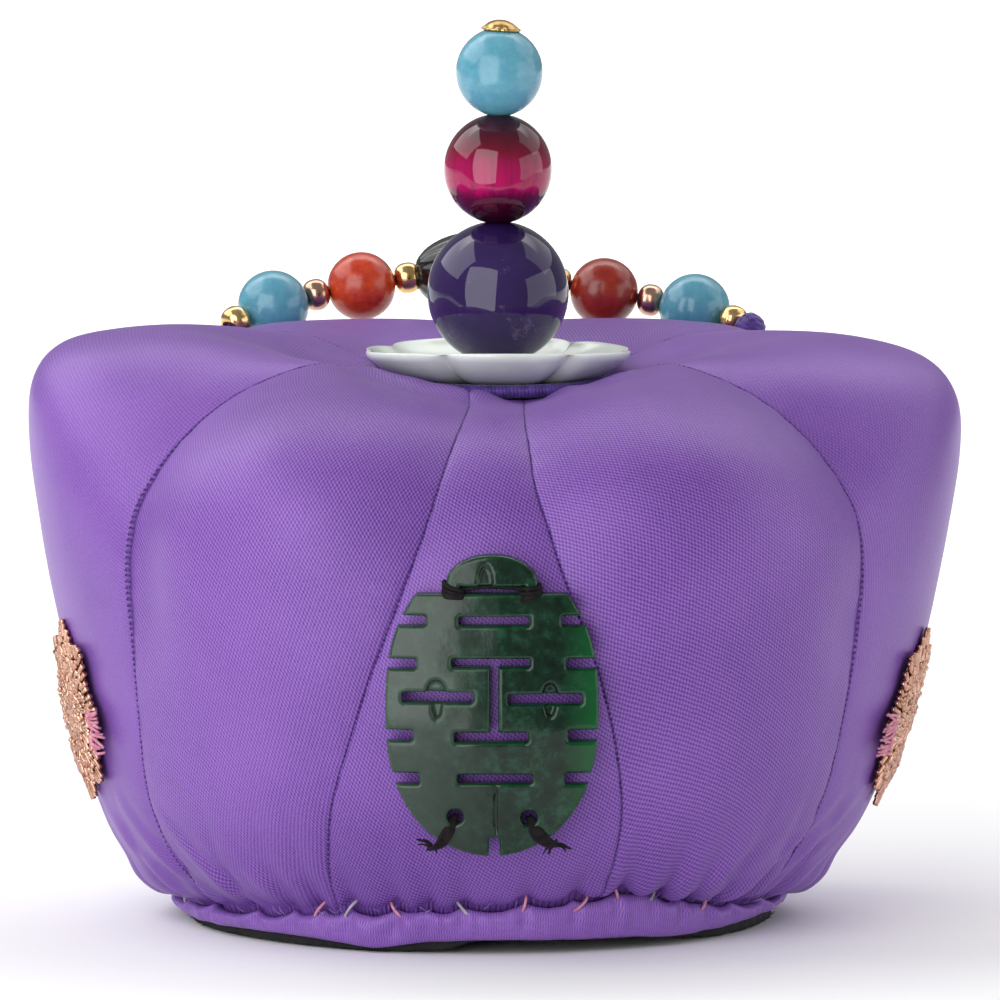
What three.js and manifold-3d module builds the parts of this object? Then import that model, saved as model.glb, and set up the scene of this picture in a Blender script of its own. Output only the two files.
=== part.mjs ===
// Bridal coronet: a padded, gored satin hat, wide at the top, on a narrow gathered rim. It carries a
// pierced jade plaque in front, a tower of three beads on a jade petal plate, a beaded strand behind it
// and a wire medallion on each side. Millimetres, +Z up, the front towards -Y. The origin is on the ground
// under the middle of the whole.

import * as THREE from 'three';
import { mergeVertices } from 'three/addons/utils/BufferGeometryUtils.js';
import Module from 'manifold-3d';

const wasm = await Module();
wasm.setup();

// Crown: a padded wall in eight gores, parted at their seams by a small gap
const WALL = 3;
const SEAM_GAP = 0.34;
const GORE_COLUMNS = 8;
const GUSSET_COLUMNS = 6;
const HEM_THICKNESS = 1.5;
const HEM_GAP = 0.6;

// Rim: the middle of the rim circle lies a little to the left of the crown's axis
const RIM_SHIFT = -2;
const RIM_SHIFT_FADES_AT = 46;
const BAND_RADIUS = 43.4;
const BAND_THICKNESS = 1.7;
const LINING_RADIUS = 41.2;
const LINING_THICKNESS = 1.3;
const LINING_TOP = 11;
const RIM_STEPS = 44;

// Finial: plate and beads on one post
const FINIAL_X = 0.5;
const POST_RADIUS = 0.9;
const POST_BOTTOM = 73.2;
const POST_TOP = 127.5;
const BORE_RADIUS = 1.3;
const PLATE_RADIUS = 19.2;
const PLATE_UNDERSIDE = 76.5;
const PLATE_RIM_RISE = 4.6;
const PLATE_SIDE_STEEPNESS = 4.5;
const PLATE_MIDDLE_THICKNESS = 2.62;
const PLATE_EDGE_THICKNESS = 0.8;
const PETAL_CUP = 0.9;
const ROLL_RADIUS = 13.6;
const ROLL_THICKNESS = 1.2;
const ROLL_FLATNESS = 0.62;
const ROLL_HEIGHT = 75.96;
const ROLL_FORWARD = 0.4;
const ROLL_ASIDE = 0.3;
const AMETHYST = { radius: 10.05, height: 89.35 };
const TIGER_EYE = { radius: 7.6, height: 107.3 };
const TURQUOISE = { radius: 6.1, height: 121.3 };
const CAP = { radius: 2.9, bottom: 127.2, top: 128.65, thickness: 0.45 };

// Plaque: a slightly domed jade plate, pierced by slots, standing on the front gusset
const PLAQUE_WIDTH = 29.4;
const PLAQUE_THICKNESS = 2.2;
const PLAQUE_BOTTOM = 15.4;
const PLAQUE_TOP = 57.4;
const PLAQUE_LEAN = 4.6;
const PLAQUE_DOME = 1.7;
const PLAQUE_BEND = 0.9;
const PLAQUE_X = -0.3;
const PLAQUE_STAND = 57.05;

// Strand: beads on a stiff thread that arches behind the finial between two knots
const THREAD_RADIUS = 0.45;
const THREAD_BORE = 0.9;

// Medallions: scalloped pieces of coiled wire on the two side gores
const MEDALLION_WIDTH = 24;
const MEDALLION_HEIGHT = 26;
const MEDALLION_THICKNESS = 0.9;
const MEDALLION_LIFT = 0.45;
const MEDALLION_STIFFNESS = 0.3;
const MEDALLION_LOBES = 8;
const MEDALLION_SCALLOP = 0.14;
const MEDALLIONS = [
  { name: 'medallion_left', angle: -80.5, height: 29.6 },
  { name: 'medallion_right', angle: 79.5, height: 29.2 },
];
const CROWN_HALF_WIDTH = 60;
const SIDE_RING = 10;

// Rings of the crown from its dimpled centre to its hem. R is a radius and Z a height: on the side seams,
// on the rear seams, on the two front gusset seams and on the two back gusset seams. bulgeR and bulgeZ are
// how far the ridge of a side gore stands out and up from its seams. frontLeft and frontRight are the
// angles of the front gusset's two seams from the front.
const RINGS = [
  { sideR: 3.6, sideZ: 74.9, rearR: 3.6, rearZ: 74.9, frontR: 3.6, frontZ: 74.9, backR: 3.6, backZ: 74.9,
    bulgeR: 0, bulgeZ: 0, frontLeft: -20, frontRight: 25 },
  { sideR: 16.5, sideZ: 74.9, rearR: 16.5, rearZ: 75, frontR: 15, frontZ: 74.9, backR: 16.5, backZ: 75,
    bulgeR: 0.4, bulgeZ: 0, frontLeft: -13, frontRight: 16 },
  { sideR: 21.8, sideZ: 78.2, rearR: 22.4, rearZ: 78.8, frontR: 21, frontZ: 75.5, backR: 22, backZ: 78.8,
    bulgeR: 1.5, bulgeZ: -0.6, frontLeft: -9.3, frontRight: 11.6 },
  { sideR: 28, sideZ: 80.6, rearR: 29.5, rearZ: 81.6, frontR: 28, frontZ: 75.4, backR: 28.5, backZ: 81.4,
    bulgeR: 4.3, bulgeZ: 0.4, frontLeft: -7.5, frontRight: 8.6 },
  { sideR: 36, sideZ: 79.1, rearR: 38, rearZ: 82.4, frontR: 36, frontZ: 74, backR: 37, backZ: 82.2,
    bulgeR: 8, bulgeZ: 3.2, frontLeft: -7.2, frontRight: 6.9 },
  { sideR: 44, sideZ: 75.8, rearR: 45.5, rearZ: 81, frontR: 43, frontZ: 70.9, backR: 44.5, backZ: 80.4,
    bulgeR: 10.3, bulgeZ: 5.2, frontLeft: -8, frontRight: 6.6 },
  { sideR: 50.6, sideZ: 71.1, rearR: 51.5, rearZ: 77, frontR: 48.8, frontZ: 66.2, backR: 50, backZ: 76.6,
    bulgeR: 11.3, bulgeZ: 7.6, frontLeft: -9.1, frontRight: 6.7 },
  { sideR: 55.6, sideZ: 65.8, rearR: 56, rearZ: 71, frontR: 52.4, frontZ: 61, backR: 53.8, backZ: 70.8,
    bulgeR: 10.2, bulgeZ: 8.3, frontLeft: -10.4, frontRight: 8.2 },
  { sideR: 58.9, sideZ: 60.2, rearR: 58.8, rearZ: 63.6, frontR: 54.8, frontZ: 55.2, backR: 55.8, backZ: 63.4,
    bulgeR: 7.6, bulgeZ: 6.2, frontLeft: -12.2, frontRight: 9.8 },
  { sideR: 60, sideZ: 53, rearR: 59.9, rearZ: 54.6, frontR: 55.7, frontZ: 48.6, backR: 56.6, backZ: 54.6,
    bulgeR: 5.1, bulgeZ: 3.6, frontLeft: -14.6, frontRight: 12.2 },
  { sideR: 59.2, sideZ: 44, rearR: 59.2, rearZ: 44.6, frontR: 55.6, frontZ: 40.1, backR: 56.4, backZ: 44.4,
    bulgeR: 3.6, bulgeZ: 1, frontLeft: -18, frontRight: 15.4 },
  { sideR: 57.6, sideZ: 32.6, rearR: 57.4, rearZ: 32.6, frontR: 54.6, frontZ: 30.6, backR: 55.2, backZ: 32.6,
    bulgeR: 2.2, bulgeZ: -0.8, frontLeft: -21.2, frontRight: 18.6 },
  { sideR: 55.4, sideZ: 21.4, rearR: 55.2, rearZ: 21.4, frontR: 52.8, frontZ: 21.6, backR: 53.2, backZ: 21.6,
    bulgeR: 1.5, bulgeZ: -0.8, frontLeft: -24.2, frontRight: 21 },
  { sideR: 51.7, sideZ: 13.2, rearR: 51.4, rearZ: 13.2, frontR: 49.6, frontZ: 14.6, backR: 50, backZ: 13.8,
    bulgeR: 1.3, bulgeZ: -1.8, frontLeft: -26, frontRight: 22 },
  { sideR: 47.4, sideZ: 8, rearR: 47, rearZ: 8.2, frontR: 46.6, frontZ: 10.2, backR: 46.6, backZ: 9,
    bulgeR: 2, bulgeZ: -2.4, frontLeft: -27, frontRight: 22 },
  { sideR: 43.2, sideZ: 5.4, rearR: 43.2, rearZ: 5.6, frontR: 43.2, frontZ: 7.2, backR: 43.2, backZ: 6,
    bulgeR: 0, bulgeZ: 0, frontLeft: -27.4, frontRight: 22 },
];

// Gores between neighbouring seams. reach and lift scale the bulge of the ridge, and ridge is the sharpness
// of its edge.
const SEAMS = {
  front_left: { kind: 'front', angle: (ring) => ring.frontLeft },
  front_right: { kind: 'front', angle: (ring) => ring.frontRight },
  side_right: { kind: 'side', angle: () => 60 },
  rear_right: { kind: 'rear', angle: () => 122 },
  back_right: { kind: 'back', angle: (ring) => 180 - ring.frontRight },
  back_left: { kind: 'back', angle: (ring) => -180 - ring.frontLeft },
  rear_left: { kind: 'rear', angle: () => -122 },
  side_left: { kind: 'side', angle: () => -60 },
};
const GORES = [
  { name: 'gore_front_gusset', from: 'front_left', to: 'front_right', reach: 0.05, lift: 0, ridge: 1 },
  { name: 'gore_front_right', from: 'front_right', to: 'side_right', reach: 0.42, lift: 0.25, ridge: 1.1 },
  { name: 'gore_right', from: 'side_right', to: 'rear_right', reach: 1, lift: 0.68, ridge: 1.25 },
  { name: 'gore_back_right', from: 'rear_right', to: 'back_right', reach: 0.72, lift: 0.1, ridge: 1.1 },
  { name: 'gore_back_gusset', from: 'back_right', to: 'back_left', reach: 0.05, lift: 0, ridge: 1 },
  { name: 'gore_back_left', from: 'back_left', to: 'rear_left', reach: 0.72, lift: 0.1, ridge: 1.1 },
  { name: 'gore_left', from: 'rear_left', to: 'side_left', reach: 1, lift: 1, ridge: 1.25 },
  { name: 'gore_front_left', from: 'side_left', to: 'front_left', reach: 0.42, lift: 0.25, ridge: 1.1 },
];

// Rim by angle from the front: top and bottom of the satin band, and bottom of the lining inside it
const RIM = [
  { angle: -180, top: 6.2, bottom: 1.6, lining: 0.1 },
  { angle: -120, top: 5.6, bottom: 1.6, lining: 0 },
  { angle: -72, top: 4, bottom: 1.5, lining: 0 },
  { angle: -48, top: 4.2, bottom: 1.7, lining: 0.2 },
  { angle: -34, top: 4.8, bottom: 1.7, lining: 0.1 },
  { angle: -20, top: 6, bottom: 0.8, lining: 0 },
  { angle: -8, top: 6.1, bottom: 1.9, lining: 0.5 },
  { angle: 2, top: 6.7, bottom: 2.2, lining: 2.2 },
  { angle: 16, top: 7.2, bottom: 2, lining: 2.2 },
  { angle: 29, top: 8.3, bottom: 1.8, lining: 1.9 },
  { angle: 40, top: 6.4, bottom: 1.5, lining: 1 },
  { angle: 56, top: 4.6, bottom: 1.9, lining: 0.1 },
  { angle: 76, top: 4.4, bottom: 2.4, lining: 0 },
  { angle: 120, top: 5.4, bottom: 1.8, lining: 0 },
  { angle: 180, top: 6.2, bottom: 1.6, lining: 0.1 },
];

// Petals of the plate: where the notches between them lie, from the front, and how deep they cut
const PLATE_NOTCHES = [-122, -90, -25, 34, 92, 144];
const NOTCH_DEPTH = 1.7;
const NOTCH_WIDTH = 9;

// Strand: the route of its thread behind the finial, from the left knot to the right one
const STRAND_ROUTE = [
  { x: -41.2, y: 43.4, z: 77.2 },
  { x: -38.3, y: 46.8, z: 81.3 },
  { x: -32, y: 52, z: 83.5 },
  { x: -19.7, y: 56, z: 85.9 },
  { x: -1.7, y: 58.4, z: 88 },
  { x: 16, y: 56, z: 85 },
  { x: 28.4, y: 53.6, z: 83 },
  { x: 35, y: 48.6, z: 81.4 },
  { x: 38.8, y: 43, z: 80.3 },
];
const BEAD_GAP = 0.5;
const BLACK_BEAD = { length: 18.4, diameter: 11.5, bore: 1.5 };

// Beads of each half of the strand from the black bead outwards
const STRAND_HALF = [
  { kind: 'gold', place: 'inner', length: 3.2, diameter: 4.6 },
  { kind: 'coral', place: '', length: 9.9, diameter: 10.1 },
  { kind: 'copper', place: '', length: 3.1, diameter: 4.7 },
  { kind: 'turquoise', place: '', length: 10.2, diameter: 10.6, bore: 1.15 },
  { kind: 'gold', place: 'outer', length: 3.2, diameter: 4.6 },
];
const KNOT_DIAMETER = 4.5;
const KNOT_GAP = 0.35;

const MATERIALS = {
  satin: { color: 0x7a4fb8, roughness: 0.45, metalness: 0 },
  lining: { color: 0x14131a, roughness: 0.6, metalness: 0 },
  green_jade: { color: 0x12402a, roughness: 0.2, metalness: 0 },
  white_jade: { color: 0xc4cccc, roughness: 0.2, metalness: 0 },
  thread: { color: 0x36187a, roughness: 0.6, metalness: 0 },
  amethyst: { color: 0x2c1750, roughness: 0.08, metalness: 0 },
  tiger_eye: { color: 0x7d0f3c, roughness: 0.1, metalness: 0 },
  turquoise: { color: 0x5fb0cc, roughness: 0.25, metalness: 0 },
  coral: { color: 0xb0331f, roughness: 0.25, metalness: 0 },
  gold: { color: 0xd4a850, roughness: 0.2, metalness: 1 },
  copper: { color: 0xb97a62, roughness: 0.2, metalness: 1 },
  black_glass: { color: 0x0c0c0e, roughness: 0.2, metalness: 0 },
  gilt_wire: { color: 0xc08a6c, roughness: 0.35, metalness: 1 },
};

const radians = THREE.MathUtils.degToRad;
const mix = THREE.MathUtils.lerp;
const clamp = THREE.MathUtils.clamp;

const coronet = new THREE.Group();

function addPiece(name, geometry, slot) {
  const mesh = new THREE.Mesh(geometry, new THREE.MeshStandardMaterial(MATERIALS[slot]));
  mesh.name = name;
  coronet.add(mesh);
  return mesh;
}

// A closed mesh from a grid of points whose rows and columns both close on themselves
function tubeLoopGeometry(rows) {
  const across = rows[0].length;
  const positions = rows.flat().flatMap((point) => [point.x, point.y, point.z]);
  const indices = [];
  for (let i = 0; i < rows.length; i += 1) {
    const next = (i + 1) % rows.length;
    for (let j = 0; j < across; j += 1) {
      const right = (j + 1) % across;
      indices.push(i * across + j, next * across + right, i * across + right);
      indices.push(i * across + j, next * across + j, next * across + right);
    }
  }
  return indexedGeometry(positions, indices);
}

// A closed slab between two grids of the same size, outer and inner, with walls along its four edges
function slabGeometry(outer, inner) {
  const down = outer.length;
  const across = outer[0].length;
  const positions = [...outer.flat(), ...inner.flat()].flatMap((point) => [point.x, point.y, point.z]);
  const front = (i, j) => i * across + j;
  const back = (i, j) => down * across + i * across + j;
  const indices = [];
  const quad = (a, b, c, d) => indices.push(a, c, b, a, d, c);
  for (let i = 0; i + 1 < down; i += 1) {
    for (let j = 0; j + 1 < across; j += 1) {
      quad(front(i, j), front(i + 1, j), front(i + 1, j + 1), front(i, j + 1));
      quad(back(i, j), back(i, j + 1), back(i + 1, j + 1), back(i + 1, j));
    }
    quad(front(i, 0), back(i, 0), back(i + 1, 0), front(i + 1, 0));
    quad(front(i, across - 1), front(i + 1, across - 1), back(i + 1, across - 1), back(i, across - 1));
  }
  for (let j = 0; j + 1 < across; j += 1) {
    quad(front(0, j), front(0, j + 1), back(0, j + 1), back(0, j));
    quad(front(down - 1, j), back(down - 1, j), back(down - 1, j + 1), front(down - 1, j + 1));
  }
  return indexedGeometry(positions, indices);
}

function indexedGeometry(positions, indices) {
  const geometry = new THREE.BufferGeometry();
  geometry.setAttribute('position', new THREE.Float32BufferAttribute(positions, 3));
  geometry.setIndex(indices);
  geometry.computeVertexNormals();
  return geometry;
}

function toManifold(geometry) {
  const bare = geometry.clone();
  bare.deleteAttribute('normal');
  bare.deleteAttribute('uv');
  const merged = mergeVertices(bare, 1e-4);
  return new wasm.Manifold(new wasm.Mesh({
    numProp: 3,
    vertProperties: new Float32Array(merged.attributes.position.array),
    triVerts: new Uint32Array(merged.index.array),
  }));
}

function fromManifold(solid) {
  const mesh = solid.getMesh();
  return indexedGeometry(Array.from(mesh.vertProperties), Array.from(mesh.triVerts));
}

// Value of a table's column at an angle, eased between the rows on either side
function rimAt(angle, column) {
  const wrapped = THREE.MathUtils.euclideanModulo(angle + 180, 360) - 180;
  const next = Math.max(1, RIM.findIndex((row) => row.angle >= wrapped));
  const before = RIM[next - 1];
  const share = (wrapped - before.angle) / (RIM[next].angle - before.angle);
  return mix(before[column], RIM[next][column], THREE.MathUtils.smoothstep(share, 0, 1));
}

function around(angle, radius, height, shift = 0) {
  const turn = radians(angle);
  return new THREE.Vector3(shift + radius * Math.sin(turn), -radius * Math.cos(turn), height);
}

// Point of a gore's outer face on one ring. across runs from 0 on its first seam to 1 on its second.
function gorePlace(gore, ring, across) {
  const first = SEAMS[gore.from];
  const second = SEAMS[gore.to];
  const start = first.angle(ring);
  const span = THREE.MathUtils.euclideanModulo(second.angle(ring) - start, 360);
  const bulge = Math.sin(Math.PI * across) ** gore.ridge;
  const out = ring.bulgeR * gore.reach * bulge;
  const up = ring.bulgeZ * (ring.bulgeZ > 0 ? gore.lift : gore.reach) * bulge;
  const radius = mix(ring[`${first.kind}R`], ring[`${second.kind}R`], across) + out;
  const height = mix(ring[`${first.kind}Z`], ring[`${second.kind}Z`], across) + up;
  return { angle: start + span * across, radius, height };
}

function rimShift(height) {
  return RIM_SHIFT * (1 - THREE.MathUtils.smoothstep(height, 0, RIM_SHIFT_FADES_AT));
}

// Places down one line of a gore, from the centre to the hem, which follows the top of the rim band
function goreLine(gore, across) {
  const places = RINGS.map((ring) => gorePlace(gore, ring, across));
  const hem = places[places.length - 1];
  hem.height = rimAt(hem.angle, 'top') + HEM_GAP;
  return places;
}

// Outer and inner points of a gore line. The wall's thickness is measured square to the line.
function goreWall(gore, across, side) {
  const places = goreLine(gore, across);
  return places.map((place, i) => {
    const before = places[Math.max(i - 1, 0)];
    const after = places[Math.min(i + 1, places.length - 1)];
    const along = new THREE.Vector2(after.radius - before.radius, after.height - before.height).normalize();
    const depth = i === places.length - 1 ? HEM_THICKNESS : WALL;
    const inward = i === 0 ? { r: 0, z: -1 } : { r: along.y, z: -along.x };
    if (i === places.length - 1) {
      inward.r = -1;
      inward.z = 0;
    }
    const inner = { radius: place.radius + inward.r * depth, height: place.height + inward.z * depth };
    const aside = side * THREE.MathUtils.radToDeg(SEAM_GAP / 2 / Math.max(place.radius, 1));
    return {
      outer: around(place.angle + aside, place.radius, place.height, rimShift(place.height)),
      inner: around(place.angle + aside, inner.radius, inner.height, rimShift(place.height)),
    };
  });
}

function goreGeometry(gore) {
  const columns = gore.name.includes('gusset') ? GUSSET_COLUMNS : GORE_COLUMNS;
  const lines = [];
  for (let i = 0; i <= columns; i += 1) {
    const side = i === 0 ? 1 : i === columns ? -1 : 0;
    lines.push(goreWall(gore, i / columns, side));
  }
  return slabGeometry(lines.map((line) => line.map((pair) => pair.outer)),
    lines.map((line) => line.map((pair) => pair.inner)));
}

// A point of the crown's outer face by angle and height, on its side walls
function crownPoint(angle, height) {
  const ring = RINGS[SIDE_RING];
  const acrossOf = (gore) => {
    const start = SEAMS[gore.from].angle(ring);
    const span = THREE.MathUtils.euclideanModulo(SEAMS[gore.to].angle(ring) - start, 360);
    return THREE.MathUtils.euclideanModulo(angle - start, 360) / span;
  };
  const gore = GORES.find((candidate) => acrossOf(candidate) <= 1);
  const places = goreLine(gore, acrossOf(gore));
  let lower = places.length - 1;
  while (lower > 1 && places[lower - 1].height < height) lower -= 1;
  const step = places[lower - 1].height - places[lower].height;
  const share = clamp((height - places[lower].height) / step, 0, 1);
  return around(angle, mix(places[lower].radius, places[lower - 1].radius, share), height, rimShift(height));
}

// A band round the rim between two radii, with its edges' heights from functions of the angle
function rimBandGeometry(outerRadius, thickness, bottomAt, topAt) {
  const rows = [];
  for (let i = 0; i < RIM_STEPS; i += 1) {
    const angle = -180 + 360 * i / RIM_STEPS;
    const bottom = bottomAt(angle);
    const top = topAt(angle);
    rows.push([
      around(angle, outerRadius, bottom, RIM_SHIFT),
      around(angle, outerRadius, top, RIM_SHIFT),
      around(angle, outerRadius - thickness, top, RIM_SHIFT),
      around(angle, outerRadius - thickness, bottom, RIM_SHIFT),
    ]);
  }
  return tubeLoopGeometry(rows);
}

// A bead of revolution round Z with a bore along its axis
function beadGeometry(length, diameter, boreRadius, sides, steps) {
  const halfLength = length / 2;
  const endShare = Math.min(boreRadius / (diameter / 2), 0.9);
  const endAngle = Math.asin(endShare);
  const profile = [];
  for (let i = 0; i <= steps; i += 1) {
    const angle = mix(Math.PI - endAngle, endAngle, i / steps);
    const along = halfLength * Math.cos(angle) / Math.cos(endAngle);
    profile.push(new THREE.Vector2(diameter / 2 * Math.sin(angle), along));
  }
  profile[0].x = boreRadius;
  profile[steps].x = boreRadius;
  profile.push(profile[0].clone());
  const geometry = new THREE.LatheGeometry(profile, sides);
  geometry.rotateX(Math.PI / 2);
  return geometry;
}

function addFinialBead(name, size, slot) {
  const bead = addPiece(name, beadGeometry(size.radius * 2, size.radius * 2, BORE_RADIUS, 16, 9), slot);
  bead.position.set(FINIAL_X, 0, size.height);
}

// How far the plate's edge is drawn in at an angle: 0 on a petal, 1 in a notch
function notchAt(angle) {
  const nearest = Math.min(...PLATE_NOTCHES.map((notch) => {
    return Math.abs(THREE.MathUtils.euclideanModulo(angle - notch + 180, 360) - 180);
  }));
  return Math.exp(-((nearest / NOTCH_WIDTH) ** 2));
}

function plateGeometry() {
  const radialShares = [0.08, 0.6, 0.85, 1];
  const steps = 40;
  const rows = [];
  const surface = (angle, share, side) => {
    const notch = notchAt(angle);
    const reach = PLATE_RADIUS - NOTCH_DEPTH * notch;
    const radius = reach * share;
    const slope = (radius / PLATE_RADIUS) ** PLATE_SIDE_STEEPNESS;
    const cup = PETAL_CUP * notch * share * share;
    const underside = PLATE_UNDERSIDE + PLATE_RIM_RISE * slope - cup;
    const thickness = mix(PLATE_MIDDLE_THICKNESS, PLATE_EDGE_THICKNESS, share);
    return around(angle, radius, underside + (side > 0 ? thickness : 0), FINIAL_X);
  };
  for (let i = 0; i < steps; i += 1) {
    const angle = -180 + 360 * i / steps;
    const under = radialShares.map((share) => surface(angle, share, -1));
    const over = radialShares.map((share) => surface(angle, share, 1)).reverse();
    rows.push([...under, ...over]);
  }
  return tubeLoopGeometry(rows);
}

function rollGeometry() {
  const geometry = new THREE.TorusGeometry(ROLL_RADIUS, ROLL_THICKNESS, 7, 26);
  geometry.scale(1, 1, ROLL_FLATNESS);
  geometry.translate(FINIAL_X + ROLL_ASIDE, -ROLL_FORWARD, ROLL_HEIGHT);
  return geometry;
}

// Outline of the plaque in its own plane, X across and Y up from its middle, and the slots cut through it
const PLAQUE_HEIGHT = PLAQUE_TOP - PLAQUE_BOTTOM;
const PLAQUE_TEETH = [
  { height: 12.6, inner: 10.4, width: 1.5 },
  { height: 6.4, inner: 11.4, width: 1.5 },
  { height: -3.4, inner: 11.6, width: 1.6 },
  { height: -9.6, inner: 10.6, width: 1.6 },
];
const PLAQUE_SLOTS = [
  { left: -4.6, right: 5.2, height: 12.2, width: 1.3 },
  { left: -5.6, right: 5.2, height: 6.4, width: 1.2 },
  { left: -5.2, right: 5, height: -4, width: 1.4 },
  { left: -4.8, right: 5.6, height: -9.9, width: 1.3 },
  { left: -12.4, right: -2.6, height: 1.6, width: 1.5 },
  { left: 2.2, right: 12.4, height: 1.3, width: 1.5 },
];
const PLAQUE_STEM = { x: 0.3, width: 1.1, bottom: -4, top: 6.4 };
const PLAQUE_CAP = { halfWidth: 6.6, height: 17.2, rise: 3.8 };
const PLAQUE_NECK = { inner: 4.4, outer: 6.2, bottom: 15.9, top: 17.3 };
const PLAQUE_FOOT_NOTCH = { x: 0.3, width: 1.5, depth: 2.6 };
const PLAQUE_HOLES = [{ x: -5.1, y: -15.3 }, { x: 5.1, y: -15.5 }];
const PLAQUE_HOLE_RADIUS = 1.1;

// Closed outline of an oval whose half width at a height above its middle comes from a function
function ovalShape(halfHeight, halfWidthAt, steps) {
  const shape = new THREE.Shape();
  for (let i = 0; i < steps; i += 1) {
    const turn = 2 * Math.PI * i / steps;
    const height = -halfHeight * Math.cos(turn);
    const aside = Math.sign(Math.round(Math.sin(turn) * 1000)) * halfWidthAt(height);
    if (i === 0) shape.moveTo(aside, height);
    else shape.lineTo(aside, height);
  }
  return shape;
}

// A shape of the plaque's plane made into a solid that runs through the plaque
function plaquePunch(shape, height) {
  const depth = 20;
  const punch = new THREE.ExtrudeGeometry(shape, { depth, bevelEnabled: false });
  punch.rotateX(Math.PI / 2);
  punch.translate(0, depth / 2, height);
  return toManifold(punch);
}

// A block through the plaque between two corners of its plane
function plaqueCutter(left, right, bottom, top) {
  const depth = 30;
  const block = new THREE.BoxGeometry(right - left, depth, top - bottom);
  block.translate((left + right) / 2, 0, (bottom + top) / 2);
  return toManifold(block);
}

// The domed slab from which the plaque is cut: it bends back towards its top, bottom and sides
function plaqueSlab() {
  const halfHeight = PLAQUE_HEIGHT / 2 + 1;
  const halfWidth = PLAQUE_WIDTH / 2 + 1;
  const face = (side) => {
    const grid = [];
    for (let i = 0; i <= 4; i += 1) {
      const x = mix(-halfWidth, halfWidth, i / 4);
      const line = [];
      for (let j = 0; j <= 6; j += 1) {
        const z = mix(halfHeight, -halfHeight, j / 6);
        const back = PLAQUE_DOME * (z / halfHeight) ** 2 + PLAQUE_BEND * (x / halfWidth) ** 2;
        line.push(new THREE.Vector3(x, back + side * PLAQUE_THICKNESS / 2, z));
      }
      grid.push(line);
    }
    return grid;
  };
  return toManifold(slabGeometry(face(-1), face(1)));
}

// The plaque's oval body, its cap and the two necks between them
function plaqueOutline() {
  const half = PLAQUE_HEIGHT / 2;
  const bodyWidth = (height) => PLAQUE_WIDTH / 2 * (1 - Math.abs(height / half) ** 2.5) ** 0.5;
  const cap = PLAQUE_CAP;
  const capWidth = (height) => cap.halfWidth * (1 - (height / cap.rise) ** 2) ** 0.5;
  const neck = PLAQUE_NECK;
  return plaquePunch(ovalShape(half, bodyWidth, 40), 0)
    .subtract(plaqueCutter(-PLAQUE_WIDTH, PLAQUE_WIDTH, neck.bottom, PLAQUE_HEIGHT))
    .add(plaquePunch(ovalShape(cap.rise, capWidth, 20), cap.height)
      .subtract(plaqueCutter(-PLAQUE_WIDTH, PLAQUE_WIDTH, 0, neck.top - 0.5)))
    .add(plaqueCutter(-neck.outer, -neck.inner, neck.bottom - 1, neck.top))
    .add(plaqueCutter(neck.inner, neck.outer, neck.bottom - 1, neck.top));
}

function plaqueGeometry() {
  let plaque = plaqueSlab().intersect(plaqueOutline());
  for (const slot of PLAQUE_SLOTS) {
    const half = slot.width / 2;
    plaque = plaque.subtract(plaqueCutter(slot.left, slot.right, slot.height - half, slot.height + half));
  }
  for (const tooth of PLAQUE_TEETH) {
    const half = tooth.width / 2;
    const edge = PLAQUE_WIDTH;
    plaque = plaque.subtract(plaqueCutter(tooth.inner, edge, tooth.height - half, tooth.height + half));
    plaque = plaque.subtract(plaqueCutter(-edge, -tooth.inner, tooth.height - half, tooth.height + half));
  }
  const stem = PLAQUE_STEM;
  const stemHalf = stem.width / 2;
  plaque = plaque.subtract(plaqueCutter(stem.x - stemHalf, stem.x + stemHalf, stem.bottom, stem.top));
  const notch = PLAQUE_FOOT_NOTCH;
  plaque = plaque.subtract(plaqueCutter(notch.x - notch.width / 2, notch.x + notch.width / 2,
    -PLAQUE_HEIGHT, -PLAQUE_HEIGHT / 2 + notch.depth));
  for (const hole of PLAQUE_HOLES) {
    const drill = new THREE.CylinderGeometry(PLAQUE_HOLE_RADIUS, PLAQUE_HOLE_RADIUS, 30, 10);
    drill.translate(hole.x, 0, hole.y);
    plaque = plaque.subtract(toManifold(drill));
  }
  return fromManifold(plaque);
}

// The medallion's outline radius at an angle round its middle, as a share of its half width
function medallionReach(turn) {
  return 1 - MEDALLION_SCALLOP * (1 - Math.cos(MEDALLION_LOBES * turn));
}

// Where the crown's wall faces at a place: its point and its directions aside, up and out
function crownFrame(angle, height) {
  const origin = crownPoint(angle, height);
  const aside = crownPoint(angle + 1, height).sub(origin).normalize();
  const above = crownPoint(angle, height + 1).sub(origin).normalize();
  return { origin, aside, above, out: aside.clone().cross(above).normalize() };
}

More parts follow.
